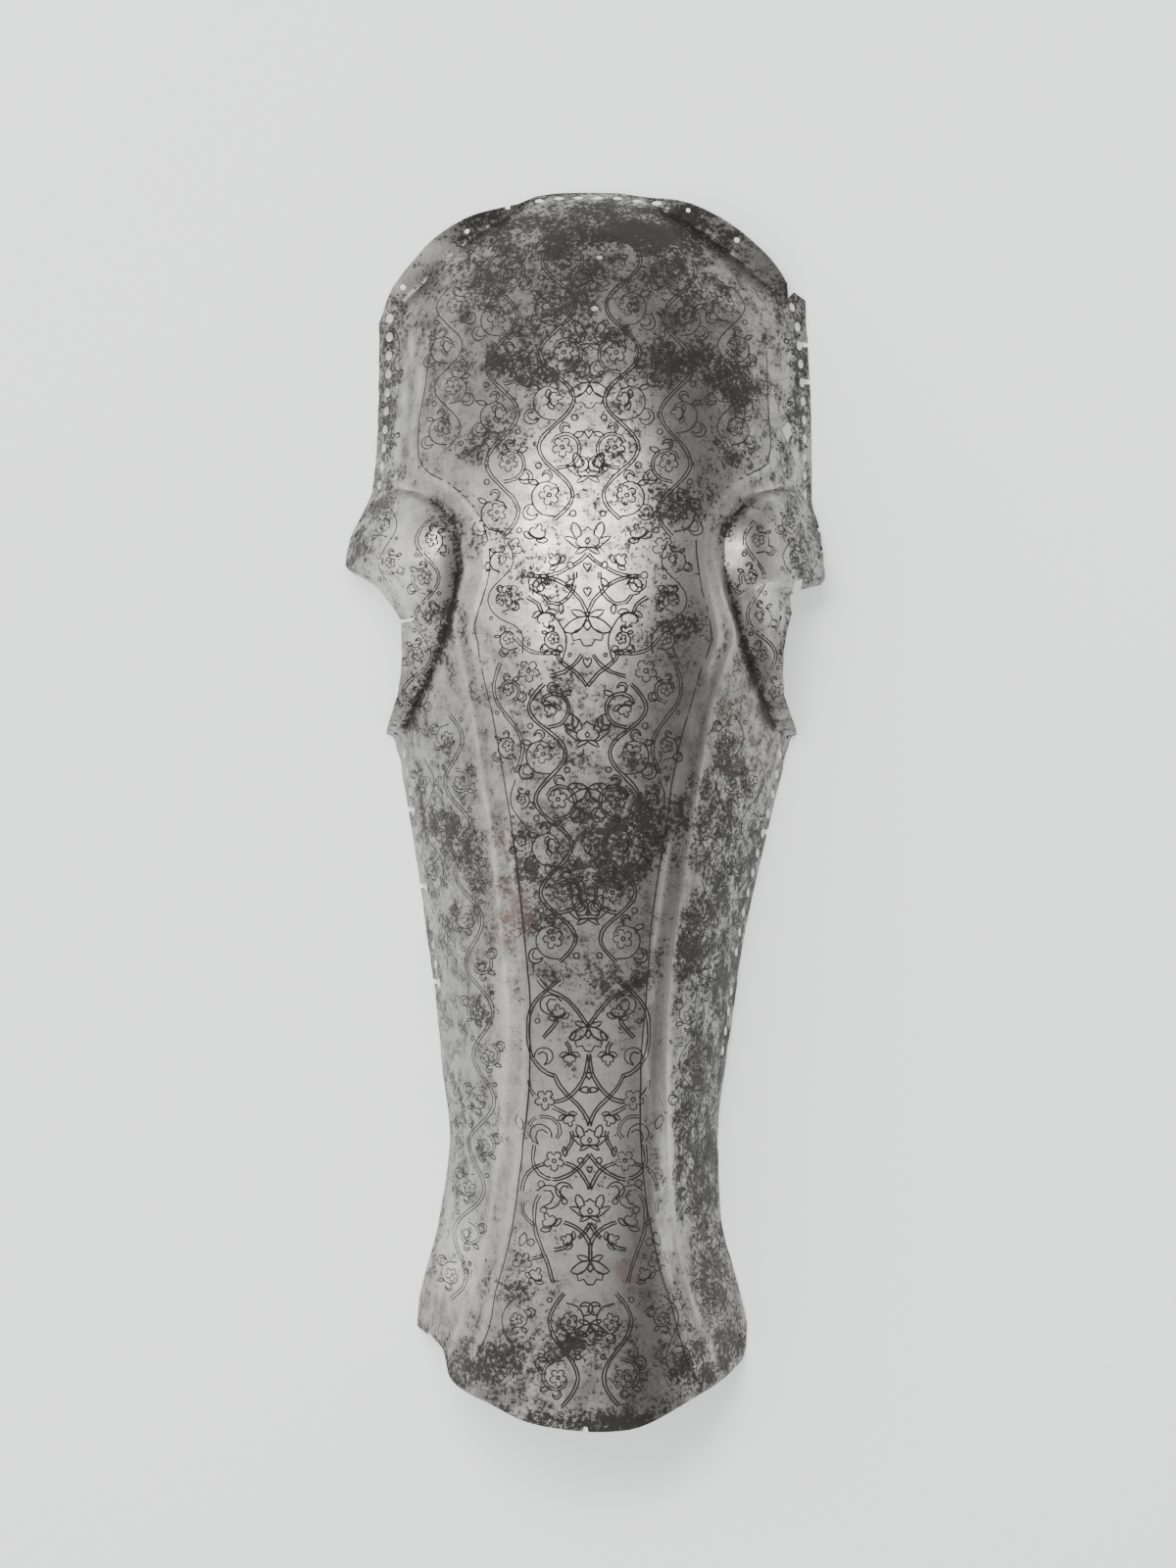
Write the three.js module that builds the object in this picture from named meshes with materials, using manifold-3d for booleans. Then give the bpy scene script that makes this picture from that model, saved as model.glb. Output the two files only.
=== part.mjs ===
// Shaffron: horse head armour raised from one steel sheet, open underneath.
// X runs across the head, +Y from the nose to the poll, +Z out of the forehead.
// The plate lies on the lower edges of its two cheeks, at Z = 0. Sizes are in millimetres.
import * as THREE from 'three';
import { mergeVertices } from 'three/addons/utils/BufferGeometryUtils.js';
import Module from 'manifold-3d';

const wasm = await Module();
wasm.setup();

const { clamp, lerp, smoothstep } = THREE.MathUtils;

// Driving sizes of the sheet.
const THICKNESS = 1.3;
const POLL_END = 290;
const NOSE_END = -290;
const BROW_CORNER = 229;
const NOSE_CORNER = -246;

// How finely the sheet is divided: columns across it, and rows in each bay along it. A
// cheek's columns are crowded towards its edge, and one of them follows the hood's crease.
const EDGE_COLUMNS = 4;
const CREASE_COLUMNS = 4;
const BAND_COLUMNS = 2;
const FIELD_COLUMNS = 6;
const CREASE_SHARE = 0.35;
const CREASE_RUN_OUT = 40;
const BAYS = [
  { end: -240, rows: 4 },
  { end: 30, rows: 20 },
  { end: 95, rows: 6 },
  { end: 155, rows: 12 },
  { end: 235, rows: 7 },
  { end: POLL_END, rows: 9 },
];
const FAN_POLL = 150;
const FAN_NOSE = -180;

// The vault without its eye hoods: the crown line's height, the line where the section is
// level, the two sides, the height that the sides reach, and how boxy the section is.
const VAULT = [
  { along: -290, crown: 79, middle: 0, left: -79.5, right: 77, rim: 2, fullness: 2.7 },
  { along: -246, crown: 76.5, middle: 0, left: -79.5, right: 77, rim: -0.8, fullness: 2.7 },
  { along: -197, crown: 77.5, middle: 0, left: -69, right: 64.5, rim: -0.8, fullness: 3 },
  { along: -158, crown: 80, middle: 0, left: -63.5, right: 62.5, rim: 1.5, fullness: 3.3 },
  { along: -110, crown: 84, middle: 0, left: -69, right: 68.5, rim: 3, fullness: 3.6 },
  { along: -60, crown: 88.5, middle: 0.5, left: -74.5, right: 75.5, rim: 2, fullness: 3.6 },
  { along: 0, crown: 93, middle: 2, left: -84, right: 89.5, rim: -0.8, fullness: 3.3 },
  { along: 30, crown: 94.3, middle: 2.5, left: -89.5, right: 96.5, rim: 0.5, fullness: 3.1 },
  { along: 70, crown: 95, middle: 3, left: -95.5, right: 102, rim: 3, fullness: 3 },
  { along: 110, crown: 92.5, middle: 3.5, left: -99, right: 106, rim: 3, fullness: 3.1 },
  { along: 150, crown: 87.5, middle: 3.5, left: -101, right: 107.5, rim: 0, fullness: 3.2 },
  { along: 190, crown: 79.5, middle: 3.5, left: -98.5, right: 107.5, rim: -0.8, fullness: 2.8 },
  { along: 229, crown: 67.5, middle: 3.5, left: -97.5, right: 105.5, rim: -0.8, fullness: 2.3 },
  { along: 250, crown: 56, middle: 3, left: -88, right: 95, rim: -6, fullness: 2.2 },
  { along: 270, crown: 40.5, middle: 2.5, left: -69, right: 76, rim: -9, fullness: 2.2 },
  { along: 283, crown: 24, middle: 2, left: -47, right: 56, rim: -9, fullness: 2.2 },
  { along: 290, crown: 8.5, middle: 2, left: -34, right: 38, rim: -9, fullness: 2.2 },
];

// The two side edges as they stand, with the eye hoods and the tips of their tails.
const SIDES = [
  { along: -246, left: -79.3, right: 76.5 },
  { along: -230, left: -77.5, right: 72.8 },
  { along: -197, left: -69.2, right: 64.5 },
  { along: -158, left: -63.6, right: 62.7 },
  { along: -125, left: -67.3, right: 66 },
  { along: -97, left: -69.6, right: 70.1 },
  { along: -64, left: -74.2, right: 74.7 },
  { along: -31, left: -78.8, right: 82.1 },
  { along: 13, left: -86.2, right: 93.1 },
  { along: 25, left: -88, right: 95 },
  { along: 33, left: -94.3, right: 100.5 },
  { along: 44, left: -90.8, right: 96.4 },
  { along: 55, left: -87.1, right: 93.1 },
  { along: 70, left: -85.3, right: 92.6 },
  { along: 85, left: -85.5, right: 95 },
  { along: 91, left: -88.5, right: 96.5 },
  { along: 99, left: -94, right: 95.6 },
  { along: 102, left: -96, right: 101 },
  { along: 105, left: -99.8, right: 112 },
  { along: 110, left: -109, right: 113 },
  { along: 113, left: -113, right: 112.6 },
  { along: 124, left: -111.2, right: 112 },
  { along: 132, left: -108.3, right: 110.7 },
  { along: 143, left: -102.9, right: 107.5 },
  { along: 150, left: -100.5, right: 107.2 },
  { along: 174, left: -98.3, right: 107.4 },
  { along: 218, left: -97.3, right: 105.6 },
  { along: 229, left: -97.3, right: 104.7 },
];

// The poll edge, and the broken nose edge: how far along they lie at each place across.
const POLL_EDGE = [
  { across: -97.3, along: 229 },
  { across: -95.4, along: 235 },
  { across: -90.4, along: 246 },
  { across: -82, along: 257 },
  { across: -71.5, along: 268 },
  { across: -53, along: 279 },
  { across: -31, along: 285 },
  { across: -23, along: 288.6 },
  { across: -10, along: 290 },
  { across: 13, along: 290 },
  { across: 25, along: 288.6 },
  { across: 45, along: 286 },
  { across: 62, along: 279 },
  { across: 85, along: 262 },
  { across: 94, along: 251 },
  { across: 97, along: 245.5 },
  { across: 104.7, along: 240 },
];
const NOSE_EDGE = [
  { across: -79.3, along: -248 },
  { across: -66.5, along: -256 },
  { across: -63, along: -269 },
  { across: -55, along: -274.5 },
  { across: -44, along: -278.5 },
  { across: -28, along: -285.4 },
  { across: -16, along: -288 },
  { across: 6, along: -290 },
  { across: 18, along: -289.5 },
  { across: 49, along: -277.5 },
  { across: 74, along: -263.5 },
  { across: 77, along: -255.5 },
];

// The eye hoods: the crease where each leaves the vault, the height of its free edge, how
// far it swells, and how suddenly it turns down.
const HOODS = [
  { along: 31, left: -88.5, right: 94.5, rim: 8, swell: 0, turn: 1.2 },
  { along: 41, left: -82, right: 87, rim: 23, swell: 0, turn: 1.3 },
  { along: 51, left: -77, right: 82.5, rim: 34, swell: 0.5, turn: 1.3 },
  { along: 62, left: -71.3, right: 78.4, rim: 42, swell: 1, turn: 1.4 },
  { along: 72, left: -67.6, right: 75.2, rim: 45, swell: 1.5, turn: 1.4 },
  { along: 85, left: -62.7, right: 71.8, rim: 44, swell: 2.5, turn: 1.6 },
  { along: 96, left: -60.5, right: 68.6, rim: 37, swell: 4, turn: 1.9 },
  { along: 110, left: -58.8, right: 65, rim: 20, swell: 5, turn: 2.2 },
  { along: 119, left: -58.5, right: 64.5, rim: 13, swell: 5, turn: 2.3 },
  { along: 128, left: -59.5, right: 66, rim: 8, swell: 5, turn: 2.3 },
  { along: 134, left: -62.5, right: 69.5, rim: 5, swell: 4.5, turn: 2.3 },
  { along: 140, left: -68.5, right: 74.5, rim: 3, swell: 3.5, turn: 2.3 },
  { along: 145, left: -76, right: 80.5, rim: 1.5, swell: 2, turn: 2.3 },
  { along: 150, left: -92, right: 98, rim: 0, swell: 0, turn: 2.3 },
];
const HOOD_START = 31;
const HOOD_END = 150;
const HOOD_BLEND = 7;
const CREASE_DEPTH = 2.2;
const CREASE_WIDTH = 4;

// The raised band down each side of the field, round the eye hood and up to the brow.
const BAND_RISE = 1;
const BAND_HALF_WIDTH = 4.5;
const BAND_SLOPE = 3;
const LEFT_BAND = [
  { x: -60, y: -262 }, { x: -47.5, y: -225 }, { x: -38.7, y: -185 }, { x: -32.5, y: -130 },
  { x: -31.8, y: -100 }, { x: -37.5, y: -35 }, { x: -46.5, y: 30 }, { x: -54, y: 67 },
  { x: -56.5, y: 83 }, { x: -51.5, y: 104 }, { x: -51.5, y: 119 }, { x: -58.5, y: 136 },
  { x: -72, y: 149 }, { x: -83, y: 156 }, { x: -84.5, y: 172 }, { x: -77.5, y: 224 },
];
const RIGHT_BAND = [
  { x: 59.5, y: -269 }, { x: 43.7, y: -225 }, { x: 36, y: -185 }, { x: 33, y: -130 },
  { x: 33, y: -105 }, { x: 40.5, y: -35 }, { x: 51, y: 30 }, { x: 60.5, y: 65 },
  { x: 64.5, y: 80 }, { x: 59, y: 102 }, { x: 59, y: 120 }, { x: 66.5, y: 139 },
  { x: 80, y: 150.5 }, { x: 92.5, y: 157 }, { x: 94, y: 176 }, { x: 91.2, y: 220 },
];

// Where the columns of the sheet follow the band.
const GUIDES = [
  { along: -290, leftOuter: -68, leftInner: -56, rightInner: 58, rightOuter: 67 },
  { along: -246, leftOuter: -59, leftInner: -48, rightInner: 46.5, rightOuter: 55 },
  { along: -185, leftOuter: -43, leftInner: -34, rightInner: 31.5, rightOuter: 40.5 },
  { along: -115, leftOuter: -36.5, leftInner: -27.5, rightInner: 28.5, rightOuter: 37.5 },
  { along: -35, leftOuter: -42, leftInner: -33, rightInner: 36, rightOuter: 45 },
  { along: 67, leftOuter: -58.5, leftInner: -49.5, rightInner: 56.5, rightOuter: 66 },
  { along: 115, leftOuter: -57.5, leftInner: -46, rightInner: 54, rightOuter: 65 },
  { along: 160, leftOuter: -60, leftInner: -47, rightInner: 53, rightOuter: 67 },
  { along: 290, leftOuter: -54, leftInner: -40, rightInner: 46, rightOuter: 60 },
];

// The edge turned up behind each ear, which dies away at the middle tab and at the corners.
const EAR_FLANGE = [
  { across: -98, level: 0, upturn: 0 },
  { across: -88, level: 11, upturn: 3 },
  { across: -65, level: 15, upturn: 4 },
  { across: -36, level: 14, upturn: 3 },
  { across: -24, level: 7, upturn: 0 },
  { across: 26, level: 7, upturn: 0 },
  { across: 40, level: 14, upturn: 3 },
  { across: 70, level: 15, upturn: 4 },
  { across: 92, level: 9, upturn: 2 },
  { across: 105, level: 0, upturn: 0 },
];
const EAR_FLANGE_WIDTH = 10;
const EAR_FILLET = 4;

// Holes for the laces, set in from the edge and evenly spaced.
const LACE_RADIUS = 2.6;
const LACE_INSET = 6;
const LACE_SIDES = 6;
const LACE_RUNS = [
  { side: 'left', first: 231, last: 151.7, count: 10, missing: [], torn: [] },
  { side: 'right', first: 236, last: 147.5, count: 11, missing: [0], torn: [2, 4] },
  { side: 'left', first: 24.5, last: -84.5, count: 13, missing: [], torn: [3, 7, 12] },
  { side: 'right', first: 24, last: -116.5, count: 16, missing: [11], torn: [4] },
];
const TORN_INSET = 2.2;
const POLL_LACES = { first: -21.5, last: 34, count: 7 };

// Single holes: rivet holes at the rim, brow holes and small losses from rust.
const RIVET_HOLES = [
  { x: 98.5, y: 236.5, radius: 2.4 }, { x: -55.8, y: 271.6, radius: 1.3 },
  { x: -86.2, y: 245.3, radius: 1.4 }, { x: 71.9, y: 267.4, radius: 1.4 },
  { x: 48.9, y: 281.5, radius: 1.2 }, { x: 6.9, y: 256, radius: 1.7 },
  { x: 4.6, y: 231, radius: 1.7 }, { x: 90.8, y: 87.6, radius: 1.4 },
  { x: -89.6, y: 34.5, radius: 1.3 }, { x: 95.9, y: 33, radius: 1.3 },
  { x: -55.3, y: -267.4, radius: 1.2 }, { x: 72.6, y: -251.7, radius: 1.1 },
  { x: -100.2, y: 142.9, radius: 2.2 }, { x: -105.3, y: 135.5, radius: 2.2 },
  { x: -107.6, y: 128.2, radius: 2.2 }, { x: -103.7, y: 123.8, radius: 1.3 },
  { x: 110.2, y: 131, radius: 2.2 }, { x: 111.5, y: 121, radius: 2.2 },
  { x: 109.8, y: 117, radius: 1.3 }, { x: 95.4, y: 174.8, radius: 2.8 },
  { x: 95, y: 178.9, radius: 2.2 }, { x: -79.8, y: 87.1, radius: 1.8 },
];
const RIVET_SIDES = 6;
const DRILL_LENGTH = 8;

// Notches torn out of the edge, as outlines looked at from above.
const NOTCHES = [
  [[-37.5, 282], [-35.4, 282], [-35.9, 291], [-38.6, 291]],
  [[-83.5, -262], [-81, -249], [-77.5, -252.5], [-76.6, -263]],
  [[-76.6, -263], [-74, -249.6], [-70, -253.5], [-70, -263]],
  [[-70.5, -266], [-66.4, -256.4], [-67.6, -260.5], [-64, -270], [-70.5, -275]],
  [[-0.4, -287.4], [1.2, -287.6], [2, -292], [-1.6, -292]],
  [[96.5, 240.8], [99, 243.2], [104, 250], [96, 250]],
  [[97.4, 100.2], [101.6, 99.6], [102, 106], [98, 104.4]],
  [[-87.5, 85.2], [-80, 86.2], [-80, 87.6], [-87.5, 86.8]],
];

const NORMAL_STEP = 0.5;
const FAR = 400;

// A smooth graph through the rows of a table that never overshoots them.
function graph(rows, from, to) {
  const xs = rows.map((row) => row[from]);
  const ys = rows.map((row) => row[to]);
  const slopes = ys.slice(1).map((y, i) => (y - ys[i]) / (xs[i + 1] - xs[i]));
  const tangents = xs.map((_, i) => {
    const before = slopes[Math.max(i - 1, 0)];
    const after = slopes[Math.min(i, slopes.length - 1)];
    return before * after <= 0 ? 0 : (2 * before * after) / (before + after);
  });
  return (x) => {
    const at = clamp(x, xs[0], xs[xs.length - 1]);
    let i = 0;
    while (i < slopes.length - 1 && at > xs[i + 1]) i += 1;
    const width = xs[i + 1] - xs[i];
    const s = (at - xs[i]) / width;
    const ease = s * s * (3 - 2 * s);
    const leave = s * (1 - s) * (1 - s) * width * tangents[i];
    const arrive = s * s * (1 - s) * width * tangents[i + 1];
    return lerp(ys[i], ys[i + 1], ease) + leave - arrive;
  };
}

const graphs = (rows, from, names) => Object.fromEntries(names.map((name) => [name, graph(rows, from, name)]));
const vault = graphs(VAULT, 'along', ['crown', 'middle', 'left', 'right', 'rim', 'fullness']);
const sides = graphs(SIDES, 'along', ['left', 'right']);
const hoods = graphs(HOODS, 'along', ['left', 'right', 'rim', 'swell', 'turn']);
const guides = graphs(GUIDES, 'along', ['leftOuter', 'leftInner', 'rightInner', 'rightOuter']);
const flange = graphs(EAR_FLANGE, 'across', ['level', 'upturn']);
const pollEdge = graph(POLL_EDGE, 'across', 'along');
const noseEdge = graph(NOSE_EDGE, 'across', 'along');

// Each band's centre line, as short straight steps.
const bandLines = [LEFT_BAND, RIGHT_BAND].map((rows) => {
  const knots = rows.map(({ x, y }) => new THREE.Vector3(x, y, 0));
  return new THREE.CatmullRomCurve3(knots, false, 'centripetal').getPoints(120);
});

function distanceToBands(x, y) {
  const place = new THREE.Vector3(x, y, 0);
  const nearest = new THREE.Vector3();
  const step = new THREE.Line3();
  let least = Infinity;
  for (const line of bandLines) {
    for (let i = 1; i < line.length; i += 1) {
      step.set(line[i - 1], line[i]).closestPointToPoint(place, true, nearest);
      least = Math.min(least, nearest.distanceTo(place));
    }
  }
  return least;
}

function softMax(a, b, radius) {
  const overlap = Math.max(radius - Math.abs(a - b), 0) / radius;
  return Math.max(a, b) + (overlap * overlap * radius) / 4;
}

function vaultHeight(x, y) {
  const middle = vault.middle(y);
  const side = x < middle ? vault.left(y) : vault.right(y);
  const reach = Math.min((x - middle) / (side - middle), 1.2);
  const rim = vault.rim(y);
  return rim + (vault.crown(y) - rim) * (1 - reach ** vault.fullness(y));
}

function hoodHeight(x, y, side) {
  const crease = hoods[side](y);
  const across = clamp((x - crease) / (sides[side](y) - crease), 0, 1);
  const start = vaultHeight(crease, y);
  const fall = (hoods.rim(y) - start) * across ** hoods.turn(y);
  return start + fall + hoods.swell(y) * 4 * across * (1 - across);
}

function bodyHeight(x, y) {
  const plain = vaultHeight(x, y);
  if (y < HOOD_START || y > HOOD_END) return plain;
  const side = x < 0 ? 'left' : 'right';
  const past = (x - hoods[side](y)) * Math.sign(x);
  const here = smoothstep(y, HOOD_START, HOOD_START + HOOD_BLEND) * (1 - smoothstep(y, HOOD_END - HOOD_BLEND, HOOD_END));
  const crease = CREASE_DEPTH * here * Math.exp(-((past / CREASE_WIDTH) ** 2));
  const height = past > 0 ? lerp(plain, hoodHeight(x, y, side), here) : plain;
  return height - crease;
}

function flangeHeight(x, y) {
  const lean = (pollEdge(x + 1) - pollEdge(x - 1)) / 2;
  const inset = Math.max(pollEdge(x) - y, 0) / Math.hypot(1, lean);
  const beyond = Math.max(inset - EAR_FLANGE_WIDTH, 0);
  return flange.level(x) + flange.upturn(x) * (1 - inset / EAR_FLANGE_WIDTH) - beyond;
}

// Height of the middle of the sheet's thickness.
function height(x, y) {
  const band = BAND_RISE * (1 - smoothstep(distanceToBands(x, y), BAND_HALF_WIDTH, BAND_HALF_WIDTH + BAND_SLOPE));
  const body = bodyHeight(x, y) + band;
  return y > FAN_POLL ? softMax(body, flangeHeight(x, y), EAR_FILLET) : body;
}

function surfaceNormal(x, y) {
  const slopeX = height(x + NORMAL_STEP, y) - height(x - NORMAL_STEP, y);
  const slopeY = height(x, y + NORMAL_STEP) - height(x, y - NORMAL_STEP);
  return new THREE.Vector3(-slopeX, -slopeY, 2 * NORMAL_STEP).normalize();
}

// How far in from the edge the crease column runs, as a share of the way to the band.
function creaseShare(side, along) {
  const at = clamp(along, HOOD_START, HOOD_END);
  const edge = sides[side](at);
  const share = (hoods[side](at) - edge) / (guides[`${side}Outer`](at) - edge);
  return lerp(share, CREASE_SHARE, smoothstep(HOOD_START - along, 0, CREASE_RUN_OUT));
}

// The places across the sheet that its columns are spread between, at one station along it.
function columnStops(side, along) {
  const edge = sides[side](clamp(along, NOSE_CORNER, BROW_CORNER));
  const outer = guides[`${side}Outer`](along);
  const inner = guides[`${side}Inner`](along);
  return [edge, lerp(edge, outer, creaseShare(side, along)), outer, inner];
}

function columnAt(column, along) {
  const near = columnStops(column * 2 < COLUMNS ? 'left' : 'right', along);
  const widths = [EDGE_COLUMNS, CREASE_COLUMNS, BAND_COLUMNS];
  let past = Math.min(column, COLUMNS - column);
  for (let bay = 0; bay < widths.length; bay += 1) {
    if (past <= widths[bay]) return lerp(near[bay], near[bay + 1], past / widths[bay]);
    past -= widths[bay];
  }
  const far = columnStops(column * 2 < COLUMNS ? 'right' : 'left', along);
  return lerp(near[3], far[3], past / FIELD_COLUMNS);
}

// Rows run straight across the middle of the plate and fan out to meet its two ends.
function placeOf(column, row) {
  const station = STATIONS[row];
  const pollEnd = pollEdge(columnAt(column, BROW_CORNER));
  const noseEnd = noseEdge(columnAt(column, NOSE_CORNER));
  let y = station;
  if (station > FAN_POLL) y = lerp(FAN_POLL, pollEnd, (station - FAN_POLL) / (POLL_END - FAN_POLL));
  if (station < FAN_NOSE) y = lerp(FAN_NOSE, noseEnd, (station - FAN_NOSE) / (NOSE_END - FAN_NOSE));
  return { x: columnAt(column, clamp(y, NOSE_CORNER, BROW_CORNER)), y };
}

const COLUMNS = 2 * (EDGE_COLUMNS + CREASE_COLUMNS + BAND_COLUMNS) + FIELD_COLUMNS;
const STATIONS = [NOSE_END];
for (const { end, rows } of BAYS) {
  const start = STATIONS[STATIONS.length - 1];
  for (let row = 1; row <= rows; row += 1) STATIONS.push(lerp(start, end, row / rows));
}

// A flat slab of small squares, bent so that its two faces lie either side of the surface.
function sheetGeometry() {
  const rows = STATIONS.length - 1;
  const slab = new THREE.BoxGeometry(COLUMNS, rows, THICKNESS, COLUMNS, rows, 1);
  const points = slab.getAttribute('position');
  for (let i = 0; i < points.count; i += 1) {
    const column = Math.round(points.getX(i) + COLUMNS / 2);
    const row = Math.round(points.getY(i) + rows / 2);
    const { x, y } = placeOf(column, row);
    const offset = surfaceNormal(x, y).multiplyScalar(points.getZ(i));
    points.setXYZ(i, x + offset.x, y + offset.y, height(x, y) + offset.z);
  }
  return slab;
}

function solidFrom(geometry) {
  const bare = geometry.clone();
  bare.deleteAttribute('normal');
  bare.deleteAttribute('uv');
  const merged = mergeVertices(bare, 1e-4);
  const vertProperties = new Float32Array(merged.getAttribute('position').array);
  const triVerts = new Uint32Array(merged.getIndex().array);
  return new wasm.Manifold(new wasm.Mesh({ numProp: 3, vertProperties, triVerts }));
}

// A drill stands square to the sheet at its place.
function drill(x, y, radius, edges) {
  const geometry = new THREE.CylinderGeometry(radius, radius, DRILL_LENGTH, edges);
  const turn = new THREE.Quaternion().setFromUnitVectors(new THREE.Vector3(0, 1, 0), surfaceNormal(x, y));
  geometry.applyQuaternion(turn);
  geometry.translate(x, y, height(x, y));
  return solidFrom(geometry);
}

// A lace hole's place: a set distance up the sheet from the side edge.
function laceDrill(side, along, inset) {
  const edge = sides[side](along);
  const inward = -Math.sign(edge);
  const lean = surfaceNormal(edge + inward, along).z;
  return drill(edge + inward * inset * lean, along, LACE_RADIUS, LACE_SIDES);
}

function laceDrills() {
  const drills = [];
  for (const { side, first, last, count, missing, torn } of LACE_RUNS) {
    for (let i = 0; i < count; i += 1) {
      const along = lerp(first, last, i / (count - 1));
      if (!missing.includes(i)) drills.push(laceDrill(side, along, LACE_INSET));
      if (torn.includes(i)) drills.push(laceDrill(side, along, TORN_INSET));
    }
  }
  return drills;
}

function pollDrills() {
  const { first, last, count } = POLL_LACES;
  return Array.from({ length: count }, (_, i) => {
    const x = lerp(first, last, i / (count - 1));
    const y = pollEdge(x);
    return drill(x, y - LACE_INSET * surfaceNormal(x, y - 1).z, LACE_RADIUS, LACE_SIDES);
  });
}

// A torn notch is cut straight down through the sheet.
function notchCutter(outline) {
  const shape = new THREE.Shape(outline.map(([x, y]) => new THREE.Vector2(x, y)));
  const geometry = new THREE.ExtrudeGeometry(shape, { depth: FAR, bevelEnabled: false });
  return solidFrom(geometry.translate(0, 0, -FAR / 2));
}

function floorCutter() {
  return solidFrom(new THREE.BoxGeometry(2 * FAR, 2 * FAR, FAR).translate(0, 0, -FAR / 2));
}

function plateGeometry() {
  const rivets = RIVET_HOLES.map(({ x, y, radius }) => drill(x, y, radius, RIVET_SIDES));
  const cutters = [...laceDrills(), ...pollDrills(), ...rivets, ...NOTCHES.map(notchCutter), floorCutter()];
  const solid = cutters.reduce((plate, cutter) => plate.subtract(cutter), solidFrom(sheetGeometry()));
  const { vertProperties, triVerts } = solid.getMesh();
  const geometry = new THREE.BufferGeometry();
  geometry.setAttribute('position', new THREE.BufferAttribute(vertProperties, 3));
  geometry.setIndex(new THREE.BufferAttribute(triVerts, 1));
  geometry.computeBoundingBox();
  const middle = geometry.boundingBox.getCenter(new THREE.Vector3());
  geometry.translate(-middle.x, -middle.y, -geometry.boundingBox.min.z);
  geometry.computeVertexNormals();
  return geometry;
}

const steel = new THREE.MeshStandardMaterial({ color: 0x8f8a83, roughness: 0.42, metalness: 0.9 });
const plate = new THREE.Mesh(plateGeometry(), steel);
plate.name = 'shaffron_plate';

const group = new THREE.Group();
group.add(plate);

export default group;
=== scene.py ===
"""Dresses a shaffron, a horse's steel head armour, and sets it in a plain studio.

X runs across the head, +Y from the nose to the poll, +Z out of the forehead. Tables are
in millimetres; the finished meshes are in metres.
"""

import math

import bmesh
import bpy
import numpy as np
from bpy.props import FloatProperty, FloatVectorProperty, PointerProperty
from bpy.types import Operator, Panel, PropertyGroup
from mathutils import Matrix, Vector, noise
from mathutils.bvhtree import BVHTree


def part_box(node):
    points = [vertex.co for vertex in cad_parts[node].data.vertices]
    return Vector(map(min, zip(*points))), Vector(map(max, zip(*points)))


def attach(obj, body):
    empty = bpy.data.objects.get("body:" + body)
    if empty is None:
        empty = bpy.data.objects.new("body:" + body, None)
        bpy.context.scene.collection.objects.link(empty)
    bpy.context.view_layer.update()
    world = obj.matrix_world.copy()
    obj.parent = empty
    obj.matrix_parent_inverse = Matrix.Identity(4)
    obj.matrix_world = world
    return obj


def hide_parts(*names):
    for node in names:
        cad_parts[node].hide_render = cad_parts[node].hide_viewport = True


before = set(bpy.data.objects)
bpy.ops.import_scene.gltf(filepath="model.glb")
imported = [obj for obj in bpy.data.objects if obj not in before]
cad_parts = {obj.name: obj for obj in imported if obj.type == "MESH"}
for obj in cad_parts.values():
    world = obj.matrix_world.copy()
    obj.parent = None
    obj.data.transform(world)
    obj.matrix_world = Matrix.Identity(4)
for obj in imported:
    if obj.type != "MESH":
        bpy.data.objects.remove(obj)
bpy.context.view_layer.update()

bl_info = {
    "name": "Shaffron",
    "version": (1, 0, 0),
    "blender": (4, 5, 0),
    "location": "3D View > Sidebar > Shaffron",
    "description": "Builds an engraved steel shaffron and a studio to see it in",
    "category": "Add Mesh",
}

MM = 0.001

# The sheet's ends and corners, and how its rows fan out towards them.
POLL_END = 290
NOSE_END = -290
BROW_CORNER = 229
NOSE_CORNER = -246
FAN_POLL = 150
FAN_NOSE = -180

# How many squares lie between the guide lines on each side, and in each bay along it.
EDGE_COLUMNS = 10
CREASE_COLUMNS = 12
BAND_COLUMNS = 8
FIELD_COLUMNS = 22
COLUMNS = 2 * (EDGE_COLUMNS + CREASE_COLUMNS + BAND_COLUMNS) + FIELD_COLUMNS
CREASE_SHARE = 0.35
CREASE_RUN_OUT = 40
BAYS = ((-240, 12), (30, 80), (95, 24), (155, 26), (235, 26), (POLL_END, 24))

VAULT_COLUMNS = "along crown middle left right rim fullness"
VAULT = (
    (-290, 79, 0, -79.5, 77, 2, 2.7),
    (-246, 76.5, 0, -79.5, 77, -0.8, 2.7),
    (-197, 77.5, 0, -69, 64.5, -0.8, 3),
    (-158, 80, 0, -63.5, 62.5, 1.5, 3.3),
    (-110, 84, 0, -69, 68.5, 3, 3.6),
    (-60, 88.5, 0.5, -74.5, 75.5, 2, 3.6),
    (0, 93, 2, -84, 89.5, -0.8, 3.3),
    (30, 94.3, 2.5, -89.5, 96.5, 0.5, 3.1),
    (70, 95, 3, -95.5, 102, 3, 3),
    (110, 92.5, 3.5, -99, 106, 3, 3.1),
    (150, 87.5, 3.5, -101, 107.5, 0, 3.2),
    (190, 79.5, 3.5, -98.5, 107.5, -0.8, 2.8),
    (229, 67.5, 3.5, -97.5, 105.5, -0.8, 2.3),
    (250, 56, 3, -88, 95, -6, 2.2),
    (270, 40.5, 2.5, -69, 76, -9, 2.2),
    (283, 24, 2, -47, 56, -9, 2.2),
    (290, 8.5, 2, -34, 38, -9, 2.2),
)
SIDES_COLUMNS = "along left right"
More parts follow.
